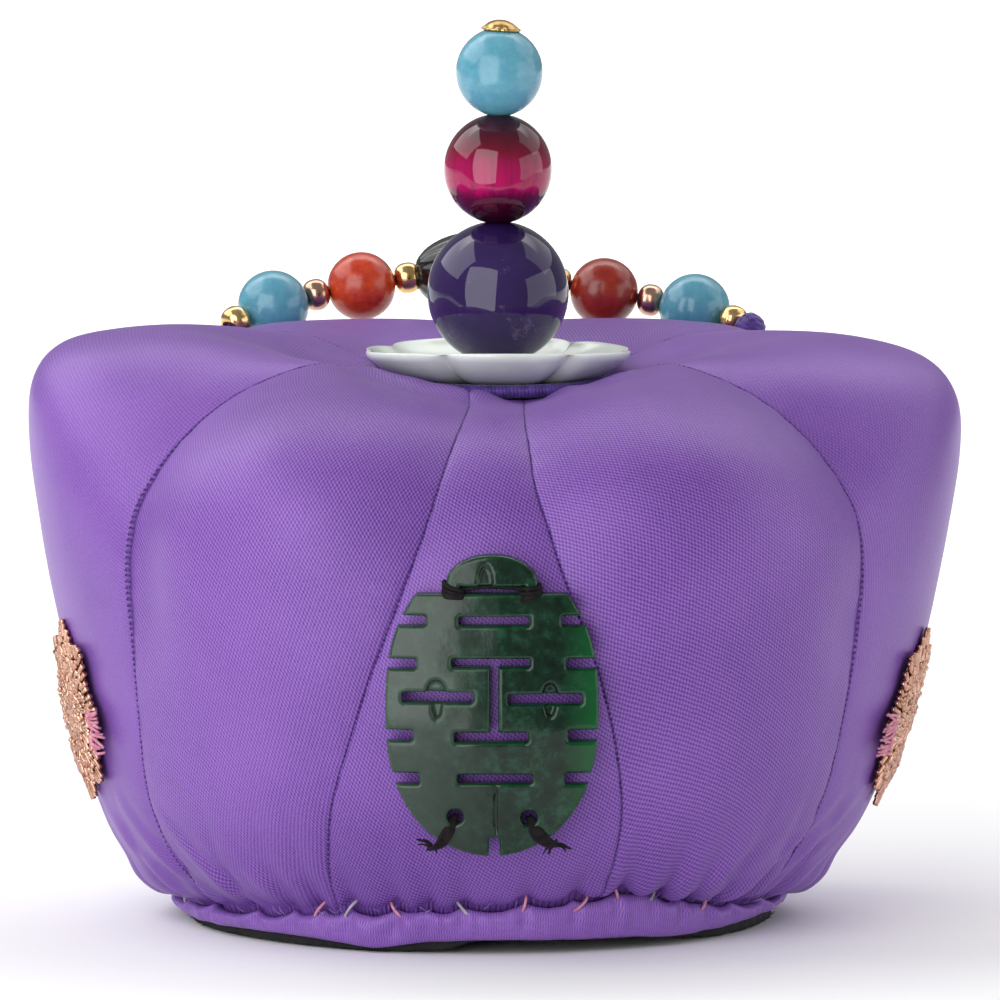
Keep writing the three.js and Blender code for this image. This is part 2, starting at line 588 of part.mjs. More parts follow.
// A lobed plate on the crown's wall, lifted clear of it. Being stiff, it bends round the wall only in part.
function medallionGeometry(angle, height) {
  const steps = 32;
  const shares = [0.5, 1];
  const middle = crownFrame(angle, height);
  const place = (x, z, lift) => {
    const bent = crownFrame(angle + THREE.MathUtils.radToDeg(x / CROWN_HALF_WIDTH), height + z);
    const flat = middle.origin.clone().addScaledVector(middle.aside, x).addScaledVector(middle.above, z);
    bent.origin.addScaledVector(bent.out, lift);
    return bent.origin.lerp(flat.addScaledVector(middle.out, lift), MEDALLION_STIFFNESS);
  };
  const positions = [];
  const rings = [];
  for (const lift of [MEDALLION_LIFT, MEDALLION_LIFT + MEDALLION_THICKNESS]) {
    const layer = [];
    positions.push(place(0, 0, lift));
    for (const share of shares) {
      const ring = [];
      for (let i = 0; i < steps; i += 1) {
        const turn = 2 * Math.PI * i / steps;
        const reach = medallionReach(turn) * share;
        ring.push(positions.length);
        const x = reach * MEDALLION_WIDTH / 2 * Math.cos(turn);
        const z = reach * MEDALLION_HEIGHT / 2 * Math.sin(turn);
        positions.push(place(x, z, lift));
      }
      layer.push(ring);
    }
    rings.push(layer);
  }
  const [under, over] = rings;
  const middleUnder = 0;
  const middleOver = 1 + steps * shares.length;
  const indices = [];
  for (let i = 0; i < steps; i += 1) {
    const next = (i + 1) % steps;
    indices.push(middleOver, over[0][i], over[0][next]);
    indices.push(middleUnder, under[0][next], under[0][i]);
    indices.push(over[0][i], over[1][i], over[1][next], over[0][i], over[1][next], over[0][next]);
    indices.push(under[0][i], under[1][next], under[1][i], under[0][i], under[0][next], under[1][next]);
    indices.push(under[1][i], under[1][next], over[1][next], under[1][i], over[1][next], over[1][i]);
  }
  return indexedGeometry(positions.flatMap((point) => [point.x, point.y, point.z]), indices);
}

function capGeometry() {
  const { radius, bottom, top, thickness } = CAP;
  const profile = [
    [0, top], [radius * 0.45, top - 0.12], [radius * 0.8, top - 0.55], [radius, bottom],
    [radius - 0.25, bottom], [radius * 0.75, top - 0.5 - thickness], [radius * 0.4, top - 0.1 - thickness],
    [0, top - thickness],
  ].map(([x, y]) => new THREE.Vector2(x, y)).reverse();
  const geometry = new THREE.LatheGeometry(profile, 16);
  geometry.rotateX(Math.PI / 2);
  geometry.translate(FINIAL_X, 0, 0);
  return geometry;
}

function knotGeometry() {
  const geometry = new THREE.IcosahedronGeometry(KNOT_DIAMETER / 2, 1);
  const position = geometry.attributes.position;
  const point = new THREE.Vector3();
  for (let i = 0; i < position.count; i += 1) {
    point.fromBufferAttribute(position, i);
    point.multiplyScalar(0.94 + 0.06 * Math.sin(3 * point.x + 2 * point.z));
    position.setXYZ(i, point.x, point.y, point.z);
  }
  return geometry;
}

function strandCurve() {
  const points = STRAND_ROUTE.map((row) => new THREE.Vector3(row.x, row.y, row.z));
  const curve = new THREE.CatmullRomCurve3(points, false, 'centripetal');
  curve.arcLengthDivisions = 400;
  return curve;
}

// Length along the strand at which it passes its middle route point
function strandMiddle(curve) {
  const middle = (STRAND_ROUTE.length - 1) / 2;
  return curve.getLengths()[Math.round(curve.arcLengthDivisions * middle / (STRAND_ROUTE.length - 1))];
}

function addCrown() {
  for (const gore of GORES) {
    addPiece(gore.name, goreGeometry(gore), 'satin');
  }
}

function addRim() {
  const band = rimBandGeometry(BAND_RADIUS, BAND_THICKNESS, (angle) => rimAt(angle, 'bottom'),
    (angle) => rimAt(angle, 'top'));
  addPiece('rim_band', band, 'satin');
  const lining = rimBandGeometry(LINING_RADIUS, LINING_THICKNESS, (angle) => rimAt(angle, 'lining'),
    () => LINING_TOP);
  addPiece('lining_band', lining, 'lining');
}

function addPlaque() {
  const plaque = addPiece('plaque', plaqueGeometry(), 'green_jade');
  plaque.position.set(PLAQUE_X, -PLAQUE_STAND, (PLAQUE_BOTTOM + PLAQUE_TOP) / 2);
  plaque.rotation.x = radians(PLAQUE_LEAN);
}

function addFinial() {
  addPiece('whipped_roll', rollGeometry(), 'thread');
  addPiece('petal_plate', plateGeometry(), 'white_jade');
  const post = new THREE.CylinderGeometry(POST_RADIUS, POST_RADIUS, POST_TOP - POST_BOTTOM, 8);
  post.rotateX(Math.PI / 2);
  post.translate(FINIAL_X, 0, (POST_TOP + POST_BOTTOM) / 2);
  addPiece('finial_post', post, 'gold');
  addFinialBead('bead_amethyst', AMETHYST, 'amethyst');
  addFinialBead('bead_tiger_eye', TIGER_EYE, 'tiger_eye');
  addFinialBead('bead_turquoise_top', TURQUOISE, 'turquoise');
  addPiece('finial_cap', capGeometry(), 'gold');
}

function addStrandBead(curve, distance, name, size, slot, sides, steps) {
  const pointAt = (along) => curve.getPointAt(along / curve.getLength());
  const start = pointAt(distance - size.length / 2);
  const end = pointAt(distance + size.length / 2);
  const centre = pointAt(distance).multiplyScalar(2).add(start).add(end).divideScalar(4);
  const bore = size.bore ?? THREAD_BORE;
  const bead = addPiece(name, beadGeometry(size.length, size.diameter, bore, sides, steps), slot);
  bead.position.copy(centre);
  bead.quaternion.setFromUnitVectors(new THREE.Vector3(0, 0, 1), end.sub(start).normalize());
}

function addStrand() {
  const curve = strandCurve();
  const middle = strandMiddle(curve);
  addStrandBead(curve, middle, 'bead_black', BLACK_BEAD, 'black_glass', 12, 8);
  const ends = {};
  for (const [sideName, side] of [['left', -1], ['right', 1]]) {
    let reach = BLACK_BEAD.length / 2;
    for (const bead of STRAND_HALF) {
      const small = bead.diameter < 6;
      const name = ['bead', bead.kind, sideName, bead.place].filter((word) => word).join('_');
      const centre = middle + side * (reach + BEAD_GAP + bead.length / 2);
      addStrandBead(curve, centre, name, bead, bead.kind, small ? 10 : 12, small ? 4 : 8);
      reach += BEAD_GAP + bead.length;
    }
    ends[sideName] = middle + side * reach;
    const knot = addPiece(`knot_${sideName}`, knotGeometry(), 'thread');
    const knotReach = reach + KNOT_GAP + KNOT_DIAMETER / 2;
    knot.position.copy(curve.getPointAt((middle + side * knotReach) / curve.getLength()));
  }
  addPiece('strand_thread', threadGeometry(curve, ends.left, ends.right), 'thread');
}

// The thread between the two knots, which it stops just short of
function threadGeometry(curve, from, to) {
  const steps = 32;
  const points = [];
  for (let i = 0; i <= steps; i += 1) {
    points.push(curve.getPointAt(mix(from, to, i / steps) / curve.getLength()));
  }
  const section = new THREE.Shape();
  section.absarc(0, 0, THREAD_RADIUS, 0, 2 * Math.PI);
  return new THREE.ExtrudeGeometry(section, {
    steps, curveSegments: 3, bevelEnabled: false, extrudePath: new THREE.CatmullRomCurve3(points),
  });
}

function addMedallions() {
  for (const place of MEDALLIONS) {
    addPiece(place.name, medallionGeometry(place.angle, place.height), 'gilt_wire');
  }
}

// Moves every piece so that the origin is on the ground under the middle of the whole
function centreOnOrigin() {
  const box = new THREE.Box3().setFromObject(coronet, true);
  const middle = box.getCenter(new THREE.Vector3());
  const move = new THREE.Vector3(-middle.x, -middle.y, -box.min.z);
  for (const piece of coronet.children) {
    piece.position.add(move);
  }
}

addCrown();
addRim();
addPlaque();
addFinial();
addStrand();
addMedallions();
centreOnOrigin();
coronet.updateMatrixWorld(true);

export default coronet;
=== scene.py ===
# Looks of the bridal coronet: satin gores, gathered rim, jade, beads, wire, threads, light and camera.
# Shapes are worked out in millimetres about the crown's axis, and to_frame turns them into metres.
import math

import bmesh
import bpy
import numpy as np
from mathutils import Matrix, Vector, noise


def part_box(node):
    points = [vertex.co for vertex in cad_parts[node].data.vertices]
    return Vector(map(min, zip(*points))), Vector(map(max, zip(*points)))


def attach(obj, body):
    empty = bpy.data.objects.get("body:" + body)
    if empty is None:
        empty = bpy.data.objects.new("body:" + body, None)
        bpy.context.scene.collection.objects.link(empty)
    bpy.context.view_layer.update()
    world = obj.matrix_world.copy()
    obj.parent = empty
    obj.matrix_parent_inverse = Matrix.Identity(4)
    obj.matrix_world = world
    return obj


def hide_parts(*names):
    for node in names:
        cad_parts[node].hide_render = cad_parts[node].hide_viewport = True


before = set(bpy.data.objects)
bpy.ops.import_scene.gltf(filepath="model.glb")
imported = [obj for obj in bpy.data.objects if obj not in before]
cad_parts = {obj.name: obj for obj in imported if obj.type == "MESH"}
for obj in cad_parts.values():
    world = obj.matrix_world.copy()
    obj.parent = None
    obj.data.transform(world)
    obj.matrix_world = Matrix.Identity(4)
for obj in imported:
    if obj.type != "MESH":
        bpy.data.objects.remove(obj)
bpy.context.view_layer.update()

MM = 0.001
FINIAL_X = 0.5

# Crown, as the CAD has it: rings from the dimpled centre to the hem. The columns are radius and height on
# the side seams, the rear seams, the front gusset's seams and the back gusset's seams, then how far a
# gore's ridge stands out and up, and the angles of the front gusset's left and right seams.
RINGS = np.array([
    [3.6, 74.9, 3.6, 74.9, 3.6, 74.9, 3.6, 74.9, 0, 0, -20, 25],
    [16.5, 74.9, 16.5, 75, 15, 74.9, 16.5, 75, 0.4, 0, -13, 16],
    [21.8, 78.2, 22.4, 78.8, 21, 75.5, 22, 78.8, 1.5, -0.6, -9.3, 11.6],
    [28, 80.6, 29.5, 81.6, 28, 75.4, 28.5, 81.4, 4.3, 0.4, -7.5, 8.6],
    [36, 79.1, 38, 82.4, 36, 74, 37, 82.2, 8, 3.2, -7.2, 6.9],
    [44, 75.8, 45.5, 81, 43, 70.9, 44.5, 80.4, 10.3, 5.2, -8, 6.6],
    [50.6, 71.1, 51.5, 77, 48.8, 66.2, 50, 76.6, 11.3, 7.6, -9.1, 6.7],
    [55.6, 65.8, 56, 71, 52.4, 61, 53.8, 70.8, 10.2, 8.3, -10.4, 8.2],
    [58.9, 60.2, 58.8, 63.6, 54.8, 55.2, 55.8, 63.4, 7.6, 6.2, -12.2, 9.8],
    [60, 53, 59.9, 54.6, 55.7, 48.6, 56.6, 54.6, 5.1, 3.6, -14.6, 12.2],
    [59.2, 44, 59.2, 44.6, 55.6, 40.1, 56.4, 44.4, 3.6, 1, -18, 15.4],
    [57.6, 32.6, 57.4, 32.6, 54.6, 30.6, 55.2, 32.6, 2.2, -0.8, -21.2, 18.6],
    [55.4, 21.4, 55.2, 21.4, 52.8, 21.6, 53.2, 21.6, 1.5, -0.8, -24.2, 21],
    [51.7, 13.2, 51.4, 13.2, 49.6, 14.6, 50, 13.8, 1.3, -1.8, -26, 22],
    [47.4, 8, 47, 8.2, 46.6, 10.2, 46.6, 9, 2, -2.4, -27, 22],
    [43.2, 5.4, 43.2, 5.6, 43.2, 7.2, 43.2, 6, 0, 0, -27.4, 22],
])
SIDE, REAR, FRONT, BACK, BULGE, FRONT_LEFT, FRONT_RIGHT = 0, 2, 4, 6, 8, 10, 11
LAST_RING = len(RINGS) - 1
HEM_GAP = 0.6
RIM_SHIFT = -2
RIM_SHIFT_FADES_AT = 46
WALL = 2.6
SIDE_SEAM = 60
REAR_SEAM = 122

# Gores: first seam, second seam, reach and lift of the ridge, sharpness of the ridge and turn of the weave
GORES = {
    "gore_front_gusset": ("front_left", "front_right", 0.05, 0, 1, 0),
    "gore_front_right": ("front_right", "side_right", 0.42, 0.25, 1.1, 0),
    "gore_right": ("side_right", "rear_right", 1, 0.68, 1.25, 40),
    "gore_back_right": ("rear_right", "back_right", 0.72, 0.1, 1.1, 12),
    "gore_back_gusset": ("back_right", "back_left", 0.05, 0, 1, 0),
    "gore_back_left": ("back_left", "rear_left", 0.72, 0.1, 1.1, -12),
    "gore_left": ("rear_left", "side_left", 1, 1, 1.25, -40),
    "gore_front_left": ("side_left", "front_left", 0.42, 0.25, 1.1, 0),
}

# Rim by angle from the front: top and bottom of the satin band, and bottom of the lining
RIM = np.array([
    [-180, 6.2, 1.6, 0.1], [-120, 5.6, 1.6, 0], [-72, 4, 1.5, 0], [-48, 4.2, 1.7, 0.2], [-34, 4.8, 1.7, 0.1],
    [-20, 6, 0.8, 0], [-8, 6.1, 1.9, 0.5], [2, 6.7, 2.2, 2.2], [16, 7.2, 2, 2.2], [29, 8.3, 1.8, 1.9],
    [40, 6.4, 1.5, 1], [56, 4.6, 1.9, 0.1], [76, 4.4, 2.4, 0], [120, 5.4, 1.8, 0], [180, 6.2, 1.6, 0.1],
])
RIM_TOP, RIM_BOTTOM, RIM_LINING = 1, 2, 3
LINING_RADIUS = 41.2
LINING_THICKNESS = 1.3
LINING_TOP = 11

# Hand stitches that hold the band, by angle from the front, and the gathers in the crown's hem
PINK_STITCHES = (-31, -15.6, 8.2, 19.2, 25.6, 45.7)
GREY_STITCHES = (-24.6, -3.3, 33.5, -72, 96, 150, -150)
PINCHES = np.array([
    -164, -150, -138, -127, -108, -92, -81, -72, -60.5, -46.5, -37, -31, -24.6, -15.6, -9.5, -3.3,
    8.2, 17.5, 25.6, 33.5, 39.9, 47, 55, 66, 80, 96, 108, 118, 139, 150, 163, 176,
])

AXIS_LOW, AXIS_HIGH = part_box("finial_post")
AXIS_X = (AXIS_LOW[0] + AXIS_HIGH[0]) / 2 / MM - FINIAL_X
AXIS_Y = (AXIS_LOW[1] + AXIS_HIGH[1]) / 2 / MM


def to_frame(points):
    """Millimetres about the crown's axis to metres in the frame."""
    return (np.asarray(points, float) + [AXIS_X, AXIS_Y, 0]) * MM


def spline(values, at):
    """A smooth curve through evenly spaced values, read at places counted in steps."""
    values = np.asarray(values, float)
    at = np.clip(at, 0, len(values) - 1)
    step = np.minimum(np.floor(at).astype(int), len(values) - 2)
    f = at - step
    a = values[np.maximum(step - 1, 0)]
    b = values[step]
    c = values[step + 1]
    d = values[np.minimum(step + 2, len(values) - 1)]
    return 0.5 * (2 * b + (c - a) * f + (2 * a - 5 * b + 4 * c - d) * f**2 + (3 * b - a - 3 * c + d) * f**3)


def smooth(share):
    """An eased step from 0 to 1."""
    share = np.clip(share, 0, 1)
    return share * share * (3 - 2 * share)


def bell(distance, width):
    """1 at no distance, about a third at the width and almost nothing at twice the width."""
    return np.exp(-((distance / width) ** 2))


def wrap(angle):
    """The same angle between -180 and 180 degrees."""
    return (np.asarray(angle, float) + 180) % 360 - 180


def full_turn(count):
    return np.linspace(0, 2 * math.pi, count, endpoint=False)


def signed_power(value, power):
    return np.sign(value) * np.abs(value) ** power


def stack(*parts):
    """Points or pairs made of their coordinates, which are spread to one shape."""
    return np.stack(np.broadcast_arrays(*parts), axis=-1)


def unit(vectors):
    """The same directions with a length of 1."""
    return vectors / np.maximum(np.linalg.norm(vectors, axis=-1, keepdims=True), 1e-9)


def rim_at(angle, column):
    """A column of the rim's table at an angle, eased between its rows."""
    angle = wrap(angle)
    row = np.clip(np.searchsorted(RIM[:, 0], angle, side="right") - 1, 0, len(RIM) - 2)
    share = (angle - RIM[row, 0]) / (RIM[row + 1, 0] - RIM[row, 0])
    return RIM[row, column] + (RIM[row + 1, column] - RIM[row, column]) * smooth(share)


def rim_shift(height):
    return RIM_SHIFT * (1 - smooth(np.asarray(height, float) / RIM_SHIFT_FADES_AT))


def around(angle, radius, height, shift):
    """A point at an angle from the front, on a ring that is moved aside by the shift."""
    turn = np.radians(angle)
    return stack(shift + radius * np.sin(turn), -radius * np.cos(turn), height)


def seam_angle(seam, down):
    left = spline(RINGS[:, FRONT_LEFT], down)
    right = spline(RINGS[:, FRONT_RIGHT], down)
    fixed = {"side_left": -SIDE_SEAM, "rear_left": -REAR_SEAM,
             "side_right": SIDE_SEAM, "rear_right": REAR_SEAM}
    moving = {"front_left": left, "front_right": right, "back_left": -180 - left, "back_right": 180 - right}
    return moving[seam] if seam in moving else fixed[seam] + 0 * left


def seam_columns(seam):
    return {"side": SIDE, "rear": REAR, "fron": FRONT, "back": BACK}[seam[:4]]


def gore_place(gore, across, down):
    """Angle, radius and height of a gore's face. across runs 0 to 1 between its seams, down counts rings."""
    first, second, reach, lift, ridge, _ = GORES[gore]
    start = seam_angle(first, down)
    span = (seam_angle(second, down) - start) % 360
    swell = np.sin(np.pi * across) ** ridge
    a, b = seam_columns(first), seam_columns(second)
    radius = spline(RINGS[:, a], down) * (1 - across) + spline(RINGS[:, b], down) * across
    height = spline(RINGS[:, a + 1], down) * (1 - across) + spline(RINGS[:, b + 1], down) * across
    radius = radius + spline(RINGS[:, BULGE], down) * reach * swell
    up = spline(RINGS[:, BULGE + 1], down)
    height = height + up * np.where(up > 0, lift, reach) * swell
    angle = start + span * across
    hem = rim_at(angle, RIM_TOP) + HEM_GAP
    height = height + (hem - height) * np.clip(down - LAST_RING + 1, 0, 1) ** 1.5
    return angle, radius, height


def gore_point(gore, across, down):
    angle, radius, height = gore_place(gore, across, down)
    return around(angle, radius, height, rim_shift(height))


def wall_frame(angle, height):
    """A place on a side gore's wall and its directions aside, up and out."""
    gore, start = ("gore_right", SIDE_SEAM) if angle > 0 else ("gore_left", -REAR_SEAM)
    downs = np.linspace(LAST_RING, 7, 200)

    def place(a, h):
        across = (a - start) / (REAR_SEAM - SIDE_SEAM)
        heights = gore_place(gore, across, downs)[2]
        return gore_point(gore, across, np.interp(h, heights, downs))

    origin = place(angle, height)
    aside = unit(place(angle + 1, height) - origin)
    above = unit(place(angle, height + 1) - origin)
    return origin, aside, above, np.cross(aside, above)


def grid_faces(rows, columns, close_rows=False, close_columns=False):
    """Quads of a grid of points that is stored row by row."""
    i = np.arange(rows if close_rows else rows - 1)
    j = np.arange(columns if close_columns else columns - 1)
    i, j = [g.ravel() for g in np.meshgrid(i, j, indexing="ij")]
    below, beside = (i + 1) % rows, (j + 1) % columns
    quads = [i * columns + j, below * columns + j, below * columns + beside, i * columns + beside]
    return np.stack(quads, axis=-1)


def slab(outer, inner):
    """A closed slab between two grids of the same size."""
    rows, columns = outer.shape[:2]
    count = rows * columns
    points = np.concatenate([outer.reshape(-1, 3), inner.reshape(-1, 3)])
    edge = np.concatenate([
        np.arange(columns), np.arange(1, rows) * columns + columns - 1,
        np.arange(columns - 2, -1, -1) + (rows - 1) * columns, np.arange(rows - 2, 0, -1) * columns,
    ])
    following = np.roll(edge, -1)
    walls = np.stack([edge, following, following + count, edge + count], axis=-1)
    front = grid_faces(rows, columns)
    return points, np.concatenate([front, front[:, ::-1] + count, walls])


def grid_normals(points):
    """Outward directions of a grid of points: rows run down, columns run to the right seen from outside."""
    return unit(np.cross(np.gradient(points, axis=0), np.gradient(points, axis=1)))


def arc_lengths(points, axis):
    """Length along a grid or path from its first point."""
    steps = np.linalg.norm(np.diff(points, axis=axis), axis=-1)
    lengths = np.cumsum(steps, axis=axis)
    first = np.zeros_like(np.take(lengths, [0], axis=axis))
    return np.concatenate([first, lengths], axis=axis)


def noise_at(points, seed=0.0):
    """Smooth noise from -1 to 1 at places given in units of its own grain."""
    flat = points.reshape(-1, points.shape[-1])
    values = [noise.noise(Vector((p[0], p[1], (p[2] if len(p) > 2 else 0.0) + seed))) for p in flat]
    return np.array(values).reshape(points.shape[:-1])


def ring_noise(angle, grain, seed, shift=0.0, up=0.0):
    """Smooth noise round the rim that closes on itself. A larger grain makes it finer."""
    turn = np.radians(angle)
    return noise_at(stack(grain * np.sin(turn) + shift, -grain * np.cos(turn), up), seed)


def add_piece(name, points, faces, materials, slot, replaces=(), maps=None, face_materials=None):
    """A mesh piece of points in millimetres about the crown's axis. Each map holds two values a point."""
    mesh = bpy.data.meshes.new(name)
    mesh.from_pydata(to_frame(points).tolist(), [], [list(face) for face in faces])
    loops = np.zeros(len(mesh.loops), int)
    mesh.loops.foreach_get("vertex_index", loops)
    for map_name, values in (maps or {}).items():
        layer = mesh.uv_layers.new(name=map_name)
        layer.data.foreach_set("uv", np.asarray(values, np.float32)[loops].ravel())
    for material in materials:
        mesh.materials.append(material)
    if face_materials is not None:
        mesh.polygons.foreach_set("material_index", face_materials)
    whole = bmesh.new()
    whole.from_mesh(mesh)
    bmesh.ops.recalc_face_normals(whole, faces=whole.faces)
    whole.to_mesh(mesh)
    whole.free()
    mesh.shade_smooth()
    piece = bpy.data.objects.new(name, mesh)
    bpy.context.collection.objects.link(piece)
    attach(piece, "root")
    if replaces:
        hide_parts(*replaces)
    return piece


def add_rings(name, rows, material, slot, replaces, maps=None):
    """A closed piece of rings of points, where the last ring joins the first."""
    points = np.stack(rows)
    faces = grid_faces(*points.shape[:2], True, True)
    maps = {key: np.reshape(values, (-1, 2)) for key, values in (maps or {}).items()}
    return add_piece(name, points.reshape(-1, 3), faces, [material], slot, replaces, maps)


def add_tubes(name, parts, material, slot, replaces=()):
    """A piece made of several pairs of points and faces."""
    points, faces, start = [], [], 0
    for part_points, part_faces in parts:
        points.append(part_points)
        faces.extend([[index + start for index in face] for face in part_faces])
        start += len(part_points)
    add_piece(name, np.concatenate(points), faces, [material], slot, replaces)


class Nodes:
    """Short ways to add shader nodes to a new material."""

    def __init__(self, name, **sockets):
        self.material = bpy.data.materials.new(name)
        self.material.use_nodes = True
        self.tree = self.material.node_tree
        self.shader = self.tree.nodes["Principled BSDF"]
        for socket, value in sockets.items():
            self.shader.inputs[socket.replace("_", " ")].default_value = value

    def add(self, kind, inputs=(), **settings):
        node = self.tree.nodes.new(kind)
        for key, value in settings.items():
            setattr(node, key, value)
        for key, value in dict(inputs).items():
            self.put(value, node.inputs[key])
        return node

    def put(self, value, socket):
        if isinstance(value, bpy.types.NodeSocket):
            self.tree.links.new(value, socket)
        else:
            socket.default_value = value

    def math(self, operation, a, b=0.0, c=0.0):
        return self.add("ShaderNodeMath", {0: a, 1: b, 2: c}, operation=operation).outputs[0]

    def times(self, a, b):
        return self.math("MULTIPLY", a, b)

    def plus(self, a, b):
        return self.math("ADD", a, b)

    def scaled(self, a, scale, offset):
        return self.math("MULTIPLY_ADD", a, scale, offset)

    def between(self, value, low, high, at_low, at_high):
        """at_low up to low, at_high from high on, and evenly in between."""
        return self.add("ShaderNodeMapRange", {0: value, 1: low, 2: high, 3: at_low, 4: at_high}).outputs[0]

    def uv(self, map_name):
        node = self.add("ShaderNodeUVMap", uv_map=map_name)
        parts = self.add("ShaderNodeSeparateXYZ", {0: node.outputs[0]})
        return parts.outputs[0], parts.outputs[1]

    def place(self, scale=(1, 1, 1)):
        spot = self.add("ShaderNodeTexCoord").outputs["Object"]
        return self.add("ShaderNodeMapping", {"Vector": spot, "Scale": scale}).outputs[0]

    def noise(self, scale, detail=2.0, vector=None, roughness=0.5):
        inputs = {"Scale": scale, "Detail": detail, "Roughness": roughness}
        inputs["Vector"] = vector if vector is not None else self.place()
        return self.add("ShaderNodeTexNoise", inputs).outputs[0]

    def ramp(self, value, *stops):
        node = self.add("ShaderNodeValToRGB", {0: value})
        elements = node.color_ramp.elements
        while len(elements) < len(stops):
            elements.new(0.5)
        for element, (position, colour) in zip(elements, stops):
            element.position = position
            element.color = (*colour, 1)
        return node.outputs[0]

    def mix(self, share, a, b, blend="MIX"):
        node = self.add("ShaderNodeMix", data_type="RGBA", blend_type=blend)
        self.put(share, node.inputs[0])
        self.put((*a, 1) if isinstance(a, tuple) else a, node.inputs[6])
        self.put((*b, 1) if isinstance(b, tuple) else b, node.inputs[7])
        return node.outputs[2]

    def colour(self, value):
        self.put(value, self.shader.inputs["Base Color"])

    def bump(self, height, distance):
        """A relief, where distance is in millimetres."""
        node = self.add("ShaderNodeBump", {"Height": height, "Distance": distance * MM})
        self.tree.links.new(node.outputs[0], self.shader.inputs["Normal"])


# Satin colours, linear: the dark hollows between floats, the floats, the palest ones, and the painted shade
# that darkens the seam valleys and needle holes
SATIN_DARK = (0.048, 0.015, 0.132)
SATIN_MIDDLE = (0.140, 0.056, 0.285)
SATIN_PALE = (0.280, 0.135, 0.48)
SATIN_SEAM_SHADE = (0.035, 0.014, 0.12)
# Distance from one seam stitch to the next, and a stitch's radius
STITCH_PITCH = 0.85
STITCH_RADIUS = 0.085


def satin_material(name, pitch, depth, pale=0.0, lines=(0.431, -0.549, 0.682, -0.147), contrast=0.20,
                   seam_shade_reach=0.3):
    """Satin with a dotted slanting weave, and needle holes by its seams, with painted shade darkening the
    seams. Its maps are in millimetres.
    """
    n = Nodes(name, Roughness=0.40, Specular_IOR_Level=0.58, Sheen_Weight=0.05, Sheen_Roughness=0.4)
    n.shader.inputs["Sheen Tint"].default_value = (0.70, 0.50, 1, 1)
    n.shader.inputs["Specular Tint"].default_value = (0.74, 0.54, 1, 1)
    u, v = n.uv("weave")
    waver = n.scaled(n.noise(900, 2), 2.4, n.times(n.noise(140, 2), 2.0))
    turn = 2 * math.pi / pitch
    first = n.plus(n.times(u, turn * lines[0]), n.times(v, turn * lines[1]))
    second = n.math("SUBTRACT", n.times(u, turn * lines[2]), n.times(v, turn * lines[3]))
    ridges = n.math("SINE", n.plus(first, waver))
    cross = n.math("SINE", n.plus(second, waver))
    dots = n.scaled(n.scaled(cross, 0.8, ridges), contrast, 0.5)
    dots = n.scaled(n.noise(4200, 1), 0.42, n.plus(dots, -0.21))
    level = n.plus(dots, n.scaled(n.noise(35, 3), 0.5, pale - 0.25))
    woven = n.ramp(level, (0.08, SATIN_DARK), (0.42, SATIN_MIDDLE), (0.95, SATIN_PALE))
    near, along = n.uv("seam")
    close = n.between(near, 0.02, seam_shade_reach, 1.0, 0.0)
    pits_and_seam_shade = n.math("SINE", n.scaled(n.noise(90, 2), 3.0, n.times(along, 2 * math.pi / STITCH_PITCH)))
    pits_and_seam_shade = n.times(close, n.scaled(pits_and_seam_shade, 0.4, 0.3))
    # Painted shade: the colour is darkened along the seams and at the needle holes.
    n.colour(n.mix(pits_and_seam_shade, woven, SATIN_SEAM_SHADE))
    n.bump(n.math("SUBTRACT", dots, pits_and_seam_shade), depth)
    return n.material


def cloth_material(name, dark, pale, pitch, depth):
    """Plain cloth with a coarse weave. Its map is in millimetres."""
    n = Nodes(name, Roughness=0.75, Specular_IOR_Level=0.3)
    u, v = n.uv("weave")
    ribs = n.math("SINE", n.times(u, 2 * math.pi / pitch))
    knots = n.math("SINE", n.times(v, 2 * math.pi / (pitch * 1.3)))
    level = n.scaled(n.times(ribs, knots), 0.35, 0.5)
    level = n.scaled(n.noise(220, 3), 0.3, n.times(level, 0.8))
    n.colour(n.ramp(level, (0.2, dark), (0.85, pale)))
    n.bump(level, depth)
    return n.material


def thread_material(name, dark, pale, roughness=0.5, sheen=0.3, gloss=0.35):
    n = Nodes(name, Roughness=roughness, Specular_IOR_Level=gloss, Sheen_Weight=sheen, Sheen_Roughness=0.4)
    level = n.noise(900, 3)
    n.colour(n.ramp(level, (0.3, dark), (0.7, pale)))
    n.bump(level, 0.05)
    return n.material


def green_jade_material():
    """Dark mottled jade, clear green at its edges, with painted light that turns its right side clear green
    and a painted reflection that makes its left half paler and greyer.
    """
    n = Nodes("green jade", Roughness=0.13, Specular_IOR_Level=0.36)
    cloud = n.noise(95, 5, roughness=0.62)
    flecks = n.noise(620, 4, roughness=0.7)
    level = n.scaled(flecks, 0.6, n.times(cloud, 0.45))
    dark, middle, pale = (0.0008, 0.006, 0.003), (0.0025, 0.018, 0.009), (0.012, 0.050, 0.028)
    body = n.ramp(level, (0.40, dark), (0.53, middle), (0.66, pale))
    near, aside = n.uv("edge")
    rim = n.between(near, 0.05, 0.5, 0.28, 0.0)
    # Painted light: the right side is made clear green, as if light shone through it.
    painted_right_light = n.between(aside, 9.5, 14.5, 0.0, 1.0)
    # Painted reflection: the left half is made paler and greyer, standing in for the softbox's reflection.
    painted_left_reflection = n.between(aside, -12, 1.5, 0.4, 0.0)
    body = n.mix(painted_left_reflection, body, (0.075, 0.105, 0.085))
    clear = n.math("MAXIMUM", rim, n.times(painted_right_light, n.math("SUBTRACT", 1.15, level)))
    n.colour(n.mix(clear, body, (0.002, 0.095, 0.020)))
    n.bump(n.plus(cloud, n.times(flecks, 0.3)), 0.05)
    return n.material


